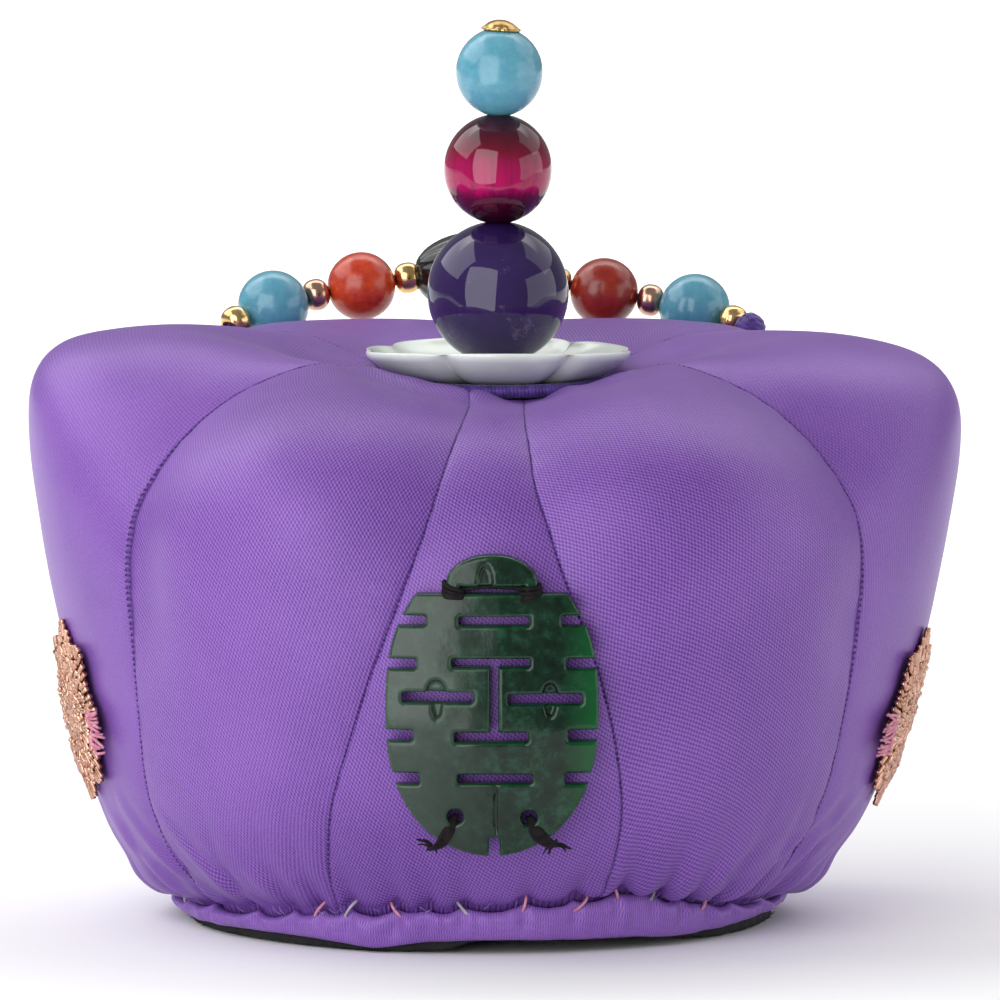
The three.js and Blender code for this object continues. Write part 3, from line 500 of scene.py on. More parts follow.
def white_jade_material():
    """Pale jade with brown stains in the notches between its petals."""
    n = Nodes("white jade", Roughness=0.2, Specular_IOR_Level=0.55, Coat_Weight=0.3, Coat_Roughness=0.08,
              Subsurface_Weight=0.25, Subsurface_Radius=(1.0 * MM, 1.0 * MM, 1.1 * MM), Subsurface_Scale=1.0)
    body = n.ramp(n.noise(70, 4), (0.3, (0.58, 0.64, 0.57)), (0.7, (0.78, 0.84, 0.78)))
    notch = n.uv("petal")[0]
    stain = n.times(n.math("POWER", notch, 14.0), n.times(n.noise(500, 3), 1.2))
    n.colour(n.mix(stain, body, (0.13, 0.045, 0.035)))
    n.bump(n.noise(260, 3), 0.05)
    return n.material


def amethyst_material(centre):
    """Dark violet stone with a patch of pale haze under its right front."""
    n = Nodes("amethyst", Roughness=0.04, Specular_IOR_Level=0.46)
    patch = ((AXIS_X + 2.6) * MM, (AXIS_Y - 8.6) * MM, (centre - 4.2) * MM)
    away = n.add("ShaderNodeVectorMath", {0: n.place(), 1: patch}, operation="DISTANCE").outputs["Value"]
    patch_share = n.between(away, 1.0 * MM, 6.0 * MM, 0.16, 0.0)
    cloud = n.noise(70, 4, roughness=0.6)
    wisps = n.noise(240, 6, roughness=0.8)
    body = n.ramp(cloud, (0.3, (0.012, 0.004, 0.040)), (0.75, (0.030, 0.013, 0.085)))
    haze = n.times(wisps, n.plus(n.plus(cloud, 0.34), patch_share))
    haze = n.ramp(haze, (0.55, (0, 0, 0)), (0.74, (0.13, 0.10, 0.14)))
    n.colour(n.mix(1.0, body, haze, "ADD"))
    return n.material


def tiger_eye_material(centre):
    """Dyed tiger's eye: upright silky fibres, and painted sheen, a bright level band a little below the
    middle, darker above and below it.
    """
    n = Nodes("tiger eye", Roughness=0.06, Specular_IOR_Level=0.5)
    fibres = n.noise(1.0, 4, n.place((900, 900, 60)), 0.65)
    height = n.add("ShaderNodeSeparateXYZ", {0: n.add("ShaderNodeTexCoord").outputs["Object"]}).outputs[2]
    sway = n.scaled(n.noise(110, 2), 3.6 * MM, -1.8 * MM)
    level = n.math("SUBTRACT", n.plus(height, sway), (centre - 7.6) * MM)
    level = n.math("DIVIDE", level, 15.2 * MM)
    level = n.scaled(fibres, 0.12, n.plus(level, -0.06))
    # Painted sheen: the ramp is brightest in a level band a little below the middle and darker towards the
    # top and bottom.
    body = n.ramp(
        level,
        (0.08, (0.030, 0.001, 0.010)), (0.22, (0.11, 0.001, 0.030)), (0.33, (0.44, 0.001, 0.100)),
        (0.54, (0.32, 0.001, 0.068)), (0.66, (0.17, 0.001, 0.022)), (0.82, (0.07, 0.001, 0.012)),
        (0.95, (0.035, 0.001, 0.010)),
    )
    streaks = n.ramp(fibres, (0.35, (0.35, 0.35, 0.35)), (0.65, (1, 1, 1)))
    n.colour(n.mix(0.55, body, streaks, "MULTIPLY"))
    return n.material


def stone_material(name, dark, pale, roughness, scale=120):
    n = Nodes(name, Roughness=roughness, Specular_IOR_Level=0.5, Coat_Weight=0.15, Coat_Roughness=0.1)
    cloud = n.noise(scale, 5, roughness=0.6)
    veins = n.noise(scale * 6, 4, n.place((1, 1, 1.4)), 0.7)
    n.colour(n.ramp(n.scaled(veins, 0.4, n.times(cloud, 0.6)), (0.34, dark), (0.62, pale)))
    n.bump(veins, 0.02)
    return n.material


def metal_material(name, dark, pale, roughness, grain=0.01):
    n = Nodes(name, Metallic=1.0, Roughness=roughness)
    level = n.noise(700, 3)
    n.colour(n.ramp(level, (0.3, dark), (0.7, pale)))
    n.bump(level, grain)
    return n.material


def black_glass_material():
    n = Nodes("black glass", Roughness=0.1, Specular_IOR_Level=0.5)
    n.colour(n.ramp(n.noise(160, 3), (0.3, (0.004, 0.004, 0.005)), (0.7, (0.016, 0.015, 0.018))))
    return n.material


# Heights of the middles of the two large finial beads
AMETHYST_HEIGHT = 89.7
TIGER_EYE_HEIGHT = 107.3

SATIN = satin_material("satin", 0.34, 0.045)
# A paler, smoother copy of the satin for the left and right gores: painted sheen, standing in for the light
# that these gores catch.
SIDE_SATIN_PAINTED_SHEEN = satin_material("side satin painted sheen", 0.36, 0.02, pale=0.04, contrast=0.11, seam_shade_reach=0.1)
BAND_SATIN = satin_material("band satin", 0.36, 0.05, pale=0.2, lines=(1.0, 0.0, 0.95, 0.3))
LINING = cloth_material("lining", (0.006, 0.006, 0.007), (0.03, 0.028, 0.03), 0.6, 0.12)
GREEN_JADE = green_jade_material()
WHITE_JADE = white_jade_material()
DARK_THREAD = thread_material("dark violet thread", (0.035, 0.014, 0.13), (0.12, 0.055, 0.33))
SEAM_THREAD = thread_material("seam thread", (0.014, 0.006, 0.055), (0.055, 0.022, 0.16), sheen=0.05)
PINK_THREAD = thread_material("pink thread", (0.46, 0.15, 0.24), (0.68, 0.30, 0.38), sheen=0.1)
FRAY_THREAD = thread_material("frayed thread", (0.22, 0.14, 0.38), (0.42, 0.32, 0.60))
GREY_THREAD = thread_material("grey thread", (0.22, 0.20, 0.24), (0.45, 0.42, 0.46))
BLACK_THREAD = thread_material("black thread", (0.003, 0.0025, 0.003), (0.014, 0.010, 0.012), 0.7, 0.01,
                               0.12)
AMETHYST = amethyst_material(AMETHYST_HEIGHT)
TIGER_EYE = tiger_eye_material(TIGER_EYE_HEIGHT)
TURQUOISE = stone_material("turquoise", (0.060, 0.24, 0.34), (0.12, 0.35, 0.45), 0.2)
CORAL = stone_material("coral", (0.30, 0.010, 0.003), (0.62, 0.060, 0.012), 0.26, 160)
# A darker copy of the coral, used for the right-hand coral bead.
DARKER_CORAL = stone_material("darker coral", (0.16, 0.005, 0.003), (0.36, 0.024, 0.008), 0.26, 160)
GOLD = metal_material("gold", (0.66, 0.42, 0.16), (0.90, 0.64, 0.30), 0.2)
CAP_GOLD = metal_material("cap gold", (0.34, 0.19, 0.06), (0.70, 0.45, 0.18), 0.28, 0.02)
COPPER = metal_material("copper", (0.52, 0.30, 0.21), (0.70, 0.45, 0.33), 0.22)
GILT_WIRE = metal_material("gilt wire", (0.42, 0.20, 0.13), (0.80, 0.49, 0.37), 0.26, 0.03)
# The medallion's metal ground under the coiled wire, made dark: painted shade in the gaps between the coils.
GAP_SHADE_GROUND = metal_material("dark ground with painted gap shade", (0.10, 0.04, 0.025), (0.26, 0.13, 0.08), 0.5, 0.03)
POST_METAL = metal_material("post metal", (0.02, 0.015, 0.012), (0.05, 0.035, 0.025), 0.4)
BLACK_GLASS = black_glass_material()


# How far the satin cushions up round the petal plate, except at the front where the cord shows
CUSHION_RISE = 1.7
# How far it comes up under the cord
CORD_SEAT = 0.6
# How far the hem hangs over the band at the left and right, and is drawn in there
HEM_SAG = 2.3
HEM_DRAWN = 1.8
# Soft dents of the padding: gore, angle, height, width and depth
DENTS = (
    ("gore_front_left", -56, 52, 6.5, 1.1),
    ("gore_front_left", -57, 63, 5.0, 0.5),
    ("gore_front_right", 57, 46, 6.0, 0.5),
)
# Slanting folds near the hem: angle and height of the lower end, slant in degrees a millimetre, then
# length, width and height
FOLDS = (
    (-59, 7, -0.9, 17, 2.0, 0.75), (-46, 6, -0.95, 17, 1.8, 0.7), (-69, 7, -0.8, 16, 2.2, 0.6),
    (-37, 6, -0.6, 13, 1.7, 0.5), (50, 7, 1.15, 19, 1.7, 0.75), (58, 7, 1.1, 19, 1.8, 0.75),
    (41, 8, 0.7, 13, 1.8, 0.5), (70, 7, 0.8, 16, 2.0, 0.55), (24, 8, 0.35, 10, 1.8, 0.4),
)


def beside_share(angle):
    """1 at the crown's left and right, falling to 0 at its front and back."""
    return bell(np.abs(wrap(angle)) - 92, 26)


def padding_relief(gore, angle, height, radius, from_seam, along):
    """How far the satin stands off the gore's plain face, in millimetres."""
    arc = np.radians(1) * radius
    above_hem = height - rim_at(angle, RIM_TOP)
    relief = -0.16 * np.exp(-(from_seam / 0.6)) - 0.2 * np.exp(-(from_seam / 3.0))
    pucker = noise_at(stack(along / 2.2, from_seam / 6), seed=3.0 * list(GORES).index(gore))
    relief += 0.16 * np.exp(-from_seam / 2.4) * pucker
    cushion = CUSHION_RISE + 1.2 * bell(wrap(angle + 48), 32)
    cushion = cushion * smooth((np.abs(wrap(angle - 13)) - 3) / 18)
    relief += cushion * bell(radius - 19.5, 3.6) + CORD_SEAT * bell(radius - 14, 2.6)
    broad = noise_at(stack(angle * 52 * np.radians(1) / 15, height / 15), seed=40.0)
    relief += 0.30 * smooth(from_seam / 8) * broad
    low = np.exp(-np.maximum(above_hem, 0) / 5.5) * smooth((60 - height) / 20)
    relief -= 0.35 * low + 0.7 * beside_share(angle) * bell(above_hem - 4, 3)
    for pinch in PINCHES:
        near = wrap(angle - pinch) * arc
        relief += low * (0.4 * bell(np.abs(near) - 2.7, 1.5) - bell(near, 1.1))
    for low_angle, low_height, slant, length, width, rise in FOLDS:
        up = height - low_height
        off = wrap(angle - low_angle - slant * up) * arc
        fade = smooth(up / 3 + 1) * smooth((length - up) / length)
        relief += rise * fade * (bell(off, width) - 0.8 * bell(off - width, width))
    for name, at_angle, at_height, width, depth in DENTS:
        if name == gore:
            away = np.hypot(wrap(angle - at_angle) * arc, (height - at_height) / 1.6)
            relief -= depth * bell(away, width)
    return relief


def gore_shares(gore):
    """Places across a gore and down it, closer together beside its seams and at the hem."""
    even = np.linspace(0, 1, 37 if "gusset" in gore else 85)
    across = 0.6 * even + 0.4 * (0.5 - 0.5 * np.cos(np.pi * even))
    top = np.linspace(0, 3, 16, endpoint=False)
    wall = np.linspace(3, 13, 96, endpoint=False)
    hem = np.linspace(13, LAST_RING, 26)
    return across, np.concatenate([top, wall, hem])


def for_both_faces(values):
    """Map values for a gore's outer and inner points, which have one row more than its grid."""
    return np.tile(np.concatenate([values, values[-1:]]).reshape(-1, 2), (2, 1))


def make_gore(gore):
    """A padded gore: satin outside, which the relief pushes in and out, and dark lining inside."""
    across, down = gore_shares(gore)
    u, t = np.meshgrid(across, down)
    base = gore_point(gore, u, t)
    angle, radius, height = gore_place(gore, u, t)
    beside = arc_lengths(base, 1)
    along = arc_lengths(base, 0)
    from_seam = np.minimum(beside, beside[:, -1:] - beside)
    share = np.exp(-from_seam / 1.2)[..., None]
    out = unit(grid_normals(base) * (1 - share) + unit(base - [0, 0, 40]) * share)
    relief = padding_relief(gore, angle, height, radius, from_seam, along) * smooth(t / 1.5)
    lifted = base + out * relief[..., None]
    above_hem = height - rim_at(angle, RIM_TOP)
    lifted[..., 2] -= HEM_SAG * beside_share(angle) * bell(above_hem, 3)
    lifted -= around(angle, HEM_DRAWN * beside_share(angle) * bell(lifted[..., 2] - 3.3, 2.4), 0, 0)
    inner = base - out * WALL
    low_angle, low_radius, low_height = angle[-1], radius[-1], height[-1]
    inner[-1] = around(low_angle, low_radius - 2.0, low_height, RIM_SHIFT)
    tuck = around(low_angle, low_radius - 1.3, low_height - 2.2, RIM_SHIFT)
    inner_tuck = around(low_angle, low_radius - 2.2, low_height - 2.2, RIM_SHIFT)
    points, faces = slab(np.concatenate([lifted, tuck[None]]), np.concatenate([inner, inner_tuck[None]]))
    middle = beside - beside[:, -1:] / 2
    turn = math.radians(GORES[gore][5])
    grain = stack(middle * math.cos(turn) + along * math.sin(turn),
                  along * math.cos(turn) - middle * math.sin(turn))
    maps = {"weave": for_both_faces(grain), "seam": for_both_faces(stack(from_seam, along))}
    front = len(down) * (len(across) - 1)
    kinds = np.zeros(len(faces), int)
    kinds[front:2 * front] = 1
    # The left and right gores get the satin copy with painted sheen.
    cloth = SIDE_SATIN_PAINTED_SHEEN if gore in ("gore_left", "gore_right") else SATIN
    piece = add_piece(f"satin_{gore}", points, faces, [cloth, LINING], "satin", (gore,), maps, kinds)


def tube(path, radius, sides=8, closed=False, radius_along=1.0):
    """Points and faces of a tube along a path, with flat ends if it isn't closed on itself."""
    path = np.asarray(path, float)
    ahead = unit(np.roll(path, -1, 0) - np.roll(path, 1, 0) if closed else np.gradient(path, axis=0))
    up = np.array([0.0, 0.0, 1.0]) if abs(ahead[0][2]) < 0.9 else np.array([1.0, 0.0, 0.0])
    sideways = []
    for direction in ahead:
        up = unit(up - direction * (up @ direction))
        sideways.append(up)
    sideways = np.array(sideways)
    other = np.cross(ahead, sideways)
    turn = full_turn(sides)[:, None]
    ring = np.cos(turn) * sideways[:, None] + np.sin(turn) * other[:, None]
    radii = radius * np.broadcast_to(radius_along, len(path))
    points = path[:, None] + ring * radii[:, None, None]
    faces = [list(face) for face in grid_faces(len(path), sides, closed, True)]
    if not closed:
        last = (len(path) - 1) * sides
        faces.append(list(range(sides))[::-1])
        faces.append([last + j for j in range(sides)])
    return points.reshape(-1, 3), faces


def curve_through(points, count):
    """A smooth path through a few points."""
    points = np.asarray(points, float)
    at = np.linspace(0, len(points) - 1, count)
    return np.stack([spline(points[:, axis], at) for axis in range(3)], axis=-1)


def thread(points, count, radius, sides, taper=(1, 1)):
    """A tube through a few points that may taper from its start to its end."""
    return tube(curve_through(points, count), radius, sides, radius_along=np.linspace(*taper, count))


def make_seam_stitches():
    """Short dashes of thread that show in the valley of each seam."""
    parts = []
    for gore in GORES:
        down = np.linspace(1.8, LAST_RING - 0.2, 400)
        lengths = arc_lengths(gore_point(gore, 0 * down, down), 0)
        lean = 0.14 if "gusset" in gore or gore == "gore_front_right" else 0.08
        for k, start in enumerate(np.arange(0.5, lengths[-1] - 1, STITCH_PITCH)):
            path = gore_point(gore, np.zeros(3), np.interp(start + np.array([0, 0.25, 0.5]), lengths, down))
            slant = lean if k % 3 else -lean
            outward = path[1] - [0, 0, 40]
            aside = unit(np.cross(path[2] - path[0], outward))
            out = unit(np.cross(aside, path[2] - path[0]))
            out = out if out @ outward > 0 else -out
            path = path - out * [[0.5], [0.24], [0.5]] + aside * [[-slant], [0], [slant]]
            parts.append(tube(path, STITCH_RADIUS, 5, radius_along=[0.6, 1, 0.6]))
    add_tubes("seam_stitches", parts, SEAM_THREAD, "thread")


# Radius at which the band's creases are measured, and of its outer and inner faces
BAND_MIDDLE = 43.5
BAND_OUTSIDE = 43.15
BAND_INSIDE = 41.9


def band_relief(angle, share):
    """Ruching of the gathered band: fine slanting creases, drawn in at each pinch."""
    relief = 0.30 * ring_noise(angle, 34, 5.0, shift=0.9 * share, up=0.9 * share)
    relief += 0.75 * ring_noise(angle, 11, 9.0, up=0.6 * share) + 0.45 * smooth(share * 1.6 - 0.6)
    for pinch in PINCHES:
        near = wrap(angle - pinch) * np.radians(BAND_MIDDLE)
        relief += smooth(share * 1.4) * (0.3 * bell(near - 1.3, 0.7) - 0.55 * bell(near, 0.8))
    return relief


def band_top(angle):
    """Top edge of the band: it sags between the pinches and is drawn up to a point at each one."""
    after = np.searchsorted(PINCHES, wrap(angle))
    left = np.where(after > 0, PINCHES[after - 1], PINCHES[-1] - 360)
    right = np.where(after < len(PINCHES), PINCHES[after % len(PINCHES)], PINCHES[0] + 360)
    share = (wrap(angle) - left) / (right - left)
    sag = 4 * share * (1 - share) * np.minimum(0.11 * (right - left), 1.0)
    waves = 0.35 * ring_noise(angle, 9, 17.0) + 0.15 * ring_noise(angle, 27, 19.0)
    return rim_at(angle, RIM_TOP) + 0.45 + waves - sag


def make_rim_band():
    """The gathered satin band: a ruched outer face and a plain inner one."""
    angle = np.linspace(-180, 180, 720, endpoint=False)
    bottom = rim_at(angle, RIM_BOTTOM) + 0.25 * ring_noise(angle, 7, 23.0)
    height = band_top(angle) - bottom
    section = [(BAND_OUTSIDE + 0.75 * math.sin(math.pi * s) ** 0.6, s, 1.0) for s in np.linspace(0, 1, 15)]
    section += [(BAND_INSIDE, s, 0.0) for s in (0.93, 0.5, 0.07)]
    rows = []
    for radius, share, ruched in section:
        wave = band_relief(angle, share) * ruched * math.sin(math.pi * (0.15 + share * 0.7))
        rows.append(around(angle, radius + wave, bottom + height * share, RIM_SHIFT))
    weave = stack(np.radians(angle) * BAND_MIDDLE, np.array([[5 * share] for _, share, _ in section]))
    maps = {"weave": weave, "seam": np.full(weave.shape, 9.0)}
    piece = add_rings("gathered_rim_band", rows, BAND_SATIN, "satin", ("rim_band",), maps)


def make_lining_band():
    """The lining's edge, a ring of dark cloth inside the band with a rough lower edge."""
    angle = np.linspace(-180, 180, 540, endpoint=False)
    rough = ring_noise(angle, 22, 31.0)
    bottom = rim_at(angle, RIM_LINING) + 0.25 * np.maximum(rough, 0)
    height = LINING_TOP - bottom
    rows = []
    for share in (1.0, 0.66, 0.33, 0.12, 0.03):
        radius = LINING_RADIUS + (0.5 + 0.22 * rough) * (1 - share)
        rows.append(around(angle, radius, bottom + height * share, RIM_SHIFT))
    rows.append(around(angle, LINING_RADIUS - 0.1 + 0.22 * rough, bottom, RIM_SHIFT))
    for share in (0.02, 0.5, 1.0):
        rows.append(around(angle, LINING_RADIUS - LINING_THICKNESS, bottom + height * share, RIM_SHIFT))
    weave = stack(np.radians(angle) * 41, np.arange(len(rows))[:, None] * 1.2)
    add_rings("lining_edge", rows, LINING, "lining", ("lining_band",), {"weave": weave})


def make_band_stitches():
    """Hand stitches over the band's top edge."""
    leans = (0.9, -1.1, 0.3, 1.3, -0.5, 0.8, -0.9)
    rises = (1.0, 0.8, 1.1, 0.7, 0.9, 1.0, 0.8)
    for name, angles, material in (("pink_stitches", PINK_STITCHES, PINK_THREAD),
                                   ("grey_stitches", GREY_STITCHES, GREY_THREAD)):
        parts = []
        for angle, lean, rise in zip(angles, leans, rises):
            top = float(band_top(np.array([angle]))[0])
            profile = [(-1.4, 42.7), (-0.9, 43.75), (-0.1, 44.1), (0.7 * rise, 43.8), (1.25 * rise, 43.0)]
            path = [around(angle + lean * z, radius, top + z, RIM_SHIFT) for z, radius in profile]
            parts.append(thread(path, 12, 0.21, 8))
        add_tubes(name, parts, material, "thread")


# Loose fibres: name, count, material, slot, radius, column of the rim's table, height over it, and least and
# greatest rise of a fibre
FIBRES = (
    ("band_fibres", 80, FRAY_THREAD, "thread", 44.2, RIM_TOP, 0.2, 0.2, 1.1),
    ("lining_fibres", 120, LINING, "lining", 41.6, RIM_LINING, 0.4, -0.2, 0.4),
)


def make_fibres():
    """Fine loose fibres that stand out of the band's folded edge and of the lining's cut edge."""
    chance = np.random.default_rng(31)
    for name, count, material, slot, radius, column, above, least, greatest in FIBRES:
        parts = []
        for angle in chance.uniform(-180, 180, count):
            edge = float(rim_at(angle, column)) + above
            turn = chance.uniform(-1.6, 1.6)
            rise = chance.uniform(least, greatest)
            path = [around(angle, radius - 0.6, edge - 0.3, RIM_SHIFT),
                    around(angle + turn * 0.4, radius + 0.3, edge + rise * 0.3, RIM_SHIFT),
                    around(angle + turn, radius + chance.uniform(0.2, 0.7), edge + rise, RIM_SHIFT)]
            parts.append(thread(path, 6, 0.045, 4, (1.1, 0.5)))
        add_tubes(name, parts, material, slot)


# Plaque, in its own plane: X across and height from its middle
PLAQUE_HALF_WIDTH = 14.7
PLAQUE_HALF_HEIGHT = 21.0
PLAQUE_MIDDLE = 36.4
PLAQUE_X = -0.3
PLAQUE_STAND = 57.05
PLAQUE_LEAN = math.radians(4.6)
PLAQUE_THICKNESS = 2.2
PLAQUE_DOME = 1.7
PLAQUE_BEND = 0.9
PLAQUE_SPACING = 0.25
PLAQUE_ROUNDING = 0.38
# Slots and notches: left, right, middle height, width and, where it isn't the usual one, corner
PLAQUE_SLOTS = (
    (-4.6, 5.2, 12.2, 1.3), (-5.6, 5.2, 6.4, 1.2), (-5.2, 5.0, -4.0, 1.4), (-4.8, 5.6, -9.9, 1.3),
    (-12.4, -2.6, 1.6, 1.5), (2.2, 12.4, 1.3, 1.5),
    (-0.25, 0.85, 1.2, 10.4, 0.25), (-0.45, 1.05, -21.4, 6.0),
    (9.6, 30, 12.2, 1.5), (10.2, 30, 6.2, 1.5), (10.5, 30, -3.8, 1.6), (10.0, 30, -9.9, 1.6),
    (-30, -9.1, 12.2, 1.5), (-30, -10.4, 6.2, 1.5), (-30, -10.9, -3.8, 1.6), (-30, -10.0, -9.9, 1.6),
)
PLAQUE_HOLES = ((-5.1, -15.3), (5.1, -15.5))
PLAQUE_HOLE_RADIUS = 1.1
# Carved hollows: x, height, half width, reach up and down, and depth
PLAQUE_MARKS = (
    (-7.7, 2.2, 1.6, 2.2, 1.2, 0.8), (-7.6, 0.9, 0.9, 1.0, 2.6, 0.8),
    (8.0, 1.9, 1.2, 2.0, 1.2, 0.8), (8.0, 0.7, 0.9, 1.0, 2.2, 0.8),
    (0.55, -14.4, 0.45, 4.2, 4.2, 0.5), (-0.9, 17.4, 1.2, 2.9, 1.4, 0.6),
)


def block_distance(x, z, left, right, middle, width, corner=0.35):
    """Distance from a block with rounded corners, negative inside it."""
    aside = np.abs(x - (left + right) / 2) - (right - left) / 2 + corner
    above = np.abs(z - middle) - width / 2 + corner
    outside = np.hypot(np.maximum(aside, 0), np.maximum(above, 0))
    return outside + np.minimum(np.maximum(aside, above), 0) - corner


def plaque_distance(x, z):
    """Rough distance from the plaque's outline, slots and holes, negative inside the jade."""
    level = np.abs(x / PLAQUE_HALF_WIDTH) ** 2 + np.abs(z / PLAQUE_HALF_HEIGHT) ** 2.5
    body = np.maximum((level - 1) * 6.5, z - 15.9)
    cap = np.maximum((np.hypot(x / 6.3, (z - 17.4) / 3.8) - 1) * 3.8, 16.95 - z)
    necks = block_distance(np.abs(x), z, 4.4, 6.2, 16.1, 2.4, 0.2)
    jade = np.minimum(np.minimum(body, cap), necks)
    for slot in PLAQUE_SLOTS:
        jade = np.maximum(jade, -block_distance(x, z, *slot))
    for hole_x, hole_z in PLAQUE_HOLES:
        jade = np.maximum(jade, PLAQUE_HOLE_RADIUS - np.hypot(x - hole_x, z - hole_z))
    return jade


def plaque_gradient(x, z, step=0.02):
    along_x = (plaque_distance(x + step, z) - plaque_distance(x - step, z)) / (2 * step)
    along_z = (plaque_distance(x, z + step) - plaque_distance(x, z - step)) / (2 * step)
    return along_x, along_z


def plaque_place(x, z, forward):
    """A point of the plaque's plane, pushed forward by its dome, leaned and set on the crown's front."""
    back = PLAQUE_DOME * (z / 22) ** 2 + PLAQUE_BEND * (x / 15.7) ** 2 - forward
    y = back * math.cos(PLAQUE_LEAN) - z * math.sin(PLAQUE_LEAN)
    height = back * math.sin(PLAQUE_LEAN) + z * math.cos(PLAQUE_LEAN)
    return stack(x + PLAQUE_X, y - PLAQUE_STAND, height + PLAQUE_MIDDLE)


def plaque_grid():
    """A fine flat grid over the jade. Its points beside the outline are drawn onto it."""
    xs = np.arange(-15.5, 15.51, PLAQUE_SPACING)
    zs = np.arange(-21.75, 21.76, PLAQUE_SPACING)
    x, z = np.meshgrid(xs, zs)
    distance = plaque_distance(x, z)
    steep = np.maximum(np.hypot(*plaque_gradient(x, z)), 0.2)
    band = np.abs(distance / steep) < PLAQUE_SPACING * 0.55
    inside = distance < 0
    for _ in range(4):
        level = plaque_distance(x, z)
        slope_x, slope_z = plaque_gradient(x, z)
        square = np.maximum(slope_x**2 + slope_z**2, 0.05)
        x = np.where(band, x - level * slope_x / square, x)
        z = np.where(band, z - level * slope_z / square, z)
    quads = grid_faces(*x.shape)
    kept = (inside | band).ravel()[quads].all(axis=1)
    kept &= inside.ravel()[quads].any(axis=1) | ~band.ravel()[quads].all(axis=1)
    used, quads = np.unique(quads[kept], return_inverse=True)
    return x.ravel()[used], z.ravel()[used], quads.reshape(-1, 4)


def make_plaque():
    """The pierced jade, rounded at every edge, with its carved hollows."""
    x, z, quads = plaque_grid()
    steep = np.maximum(np.hypot(*plaque_gradient(x, z)), 0.3)
    deep = np.maximum(-plaque_distance(x, z) / steep, 0)
    short = np.clip(PLAQUE_ROUNDING - deep, 0, PLAQUE_ROUNDING)
    drop = PLAQUE_ROUNDING - np.sqrt(np.maximum(PLAQUE_ROUNDING**2 - short**2, 0))
    carved = 0 * x
    for mark_x, mark_z, half_width, up, down, depth in PLAQUE_MARKS:
        reach = np.where(z > mark_z, up, down)
        away = np.hypot((x - mark_x) / half_width, (z - mark_z) / reach)
        carved = np.maximum(carved, depth * smooth((1 - away) * 3))
    swell = 0.10 * noise_at(stack(x / 5, z / 5), 51.0)
    front = plaque_place(x, z, PLAQUE_THICKNESS / 2 - drop - carved + swell)
    back = plaque_place(x, z, -PLAQUE_THICKNESS / 2 + drop * 0.6)
    edges = np.concatenate([quads[:, [k, (k + 1) % 4]] for k in range(4)])
    _, first, times = np.unique(np.sort(edges, axis=1), axis=0, return_index=True, return_counts=True)
    start, end = edges[first[times == 1]].T
    walls = stack(start, end, end + len(x), start + len(x))
    faces = np.concatenate([quads, quads[:, ::-1] + len(x), walls])
    maps = {"edge": np.tile(stack(deep, x), (2, 1))}
    points = np.concatenate([front, back])
    add_piece("jade_plaque", points, faces, [GREEN_JADE], "green_jade", ("plaque",), maps)


# Ties out of the holes, on the left (-1) and right (1): their route in the plaque's plane, then the
# direction, length and radius of their loose ends
TIE_ROUTES = {
    -1: ((-5.1, -15.3), (-6.2, -17.6), (-7.2, -19.4), (-8.1, -20.3)),
    1: ((5.1, -15.5), (6.2, -17.6), (7.6, -19.0), (8.6, -19.9)),
}
TIE_FRAYS = {
    -1: ((152, 2.6, 0.26), (140, 1.9, 0.2), (168, 2.2, 0.16), (205, 1.0, 0.22), (-60, 0.9, 0.2)),
    1: ((-14, 2.4, 0.26), (-3, 1.7, 0.18), (-30, 1.9, 0.18), (-120, 1.5, 0.24), (-140, 2.0, 0.16),
        (70, 0.9, 0.18)),
}


def neck_ties(side):
    """Four turns of thread round a neck, and its end that runs to the cloth."""
    turn = full_turn(24)
    x = side * 5.3 + 1.35 * signed_power(np.cos(turn), 0.7)
    out = 1.5 * signed_power(np.sin(turn), 0.7)
    parts = []
    for k in range(4):
        height = 15.55 + 0.42 * k + 0.25 * np.cos(turn + k) + 0.35 * side * np.cos(turn)
        parts.append(tube(plaque_place(x, height, out), 0.3, 7, closed=True))
    end = [plaque_place(side * 7.2, 15.4, -0.2), plaque_place(side * 8.4, 14.7, -1.2)]
    parts.append(thread([plaque_place(side * 6.3, 16.2, 0.6), *end], 12, 0.34, 7))
    return parts


def hole_ties(side):
    """Four strands out of a hole and down to the cloth, and their frayed ends."""
    route = TIE_ROUTES[side]
    parts = []
    for aside in 0.42 * (np.arange(4) - 1.5):
        path = [plaque_place(x + aside * share, z + aside * 0.25 * share, out)
                for (x, z), out, share in zip(route, (-0.4, 1.45, 0.9, -1.0), (0.3, 1, 1, 0.8))]
        parts.append(thread(path, 14, 0.33, 7))
    end_x, end_z = route[-1]
    for spread, length, thick in TIE_FRAYS[side]:
        turn = math.radians(spread)
        start = plaque_place(end_x, end_z, -1.0)
        tip = plaque_place(end_x + length * math.cos(turn), end_z + length * math.sin(turn), -1.3)
        middle = (start + tip) / 2 + [0.2 * math.sin(spread), -0.45, 0.3]
        parts.append(thread([start, middle, tip], 9, thick, 6, (1.2, 0.5)))
    return parts


def make_plaque_ties():
    """Black threads round the two necks and between them, and out of the two holes."""
    across = np.linspace(-4.6, 4.6, 16)
    bridge = plaque_place(across, 16.85 - 0.4 * (across / 4.6) ** 2, 0.35)
    parts = [*neck_ties(-1), *neck_ties(1), tube(bridge, 0.28, 7), *hole_ties(-1), *hole_ties(1)]
    add_tubes("plaque_ties", parts, BLACK_THREAD, "thread")


def node_middle(node):
    """Middle of a node of the frame, in millimetres about the crown's axis."""
    low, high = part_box(node)
    return (np.array(low) + np.array(high)) / 2 / MM - [AXIS_X, AXIS_Y, 0]


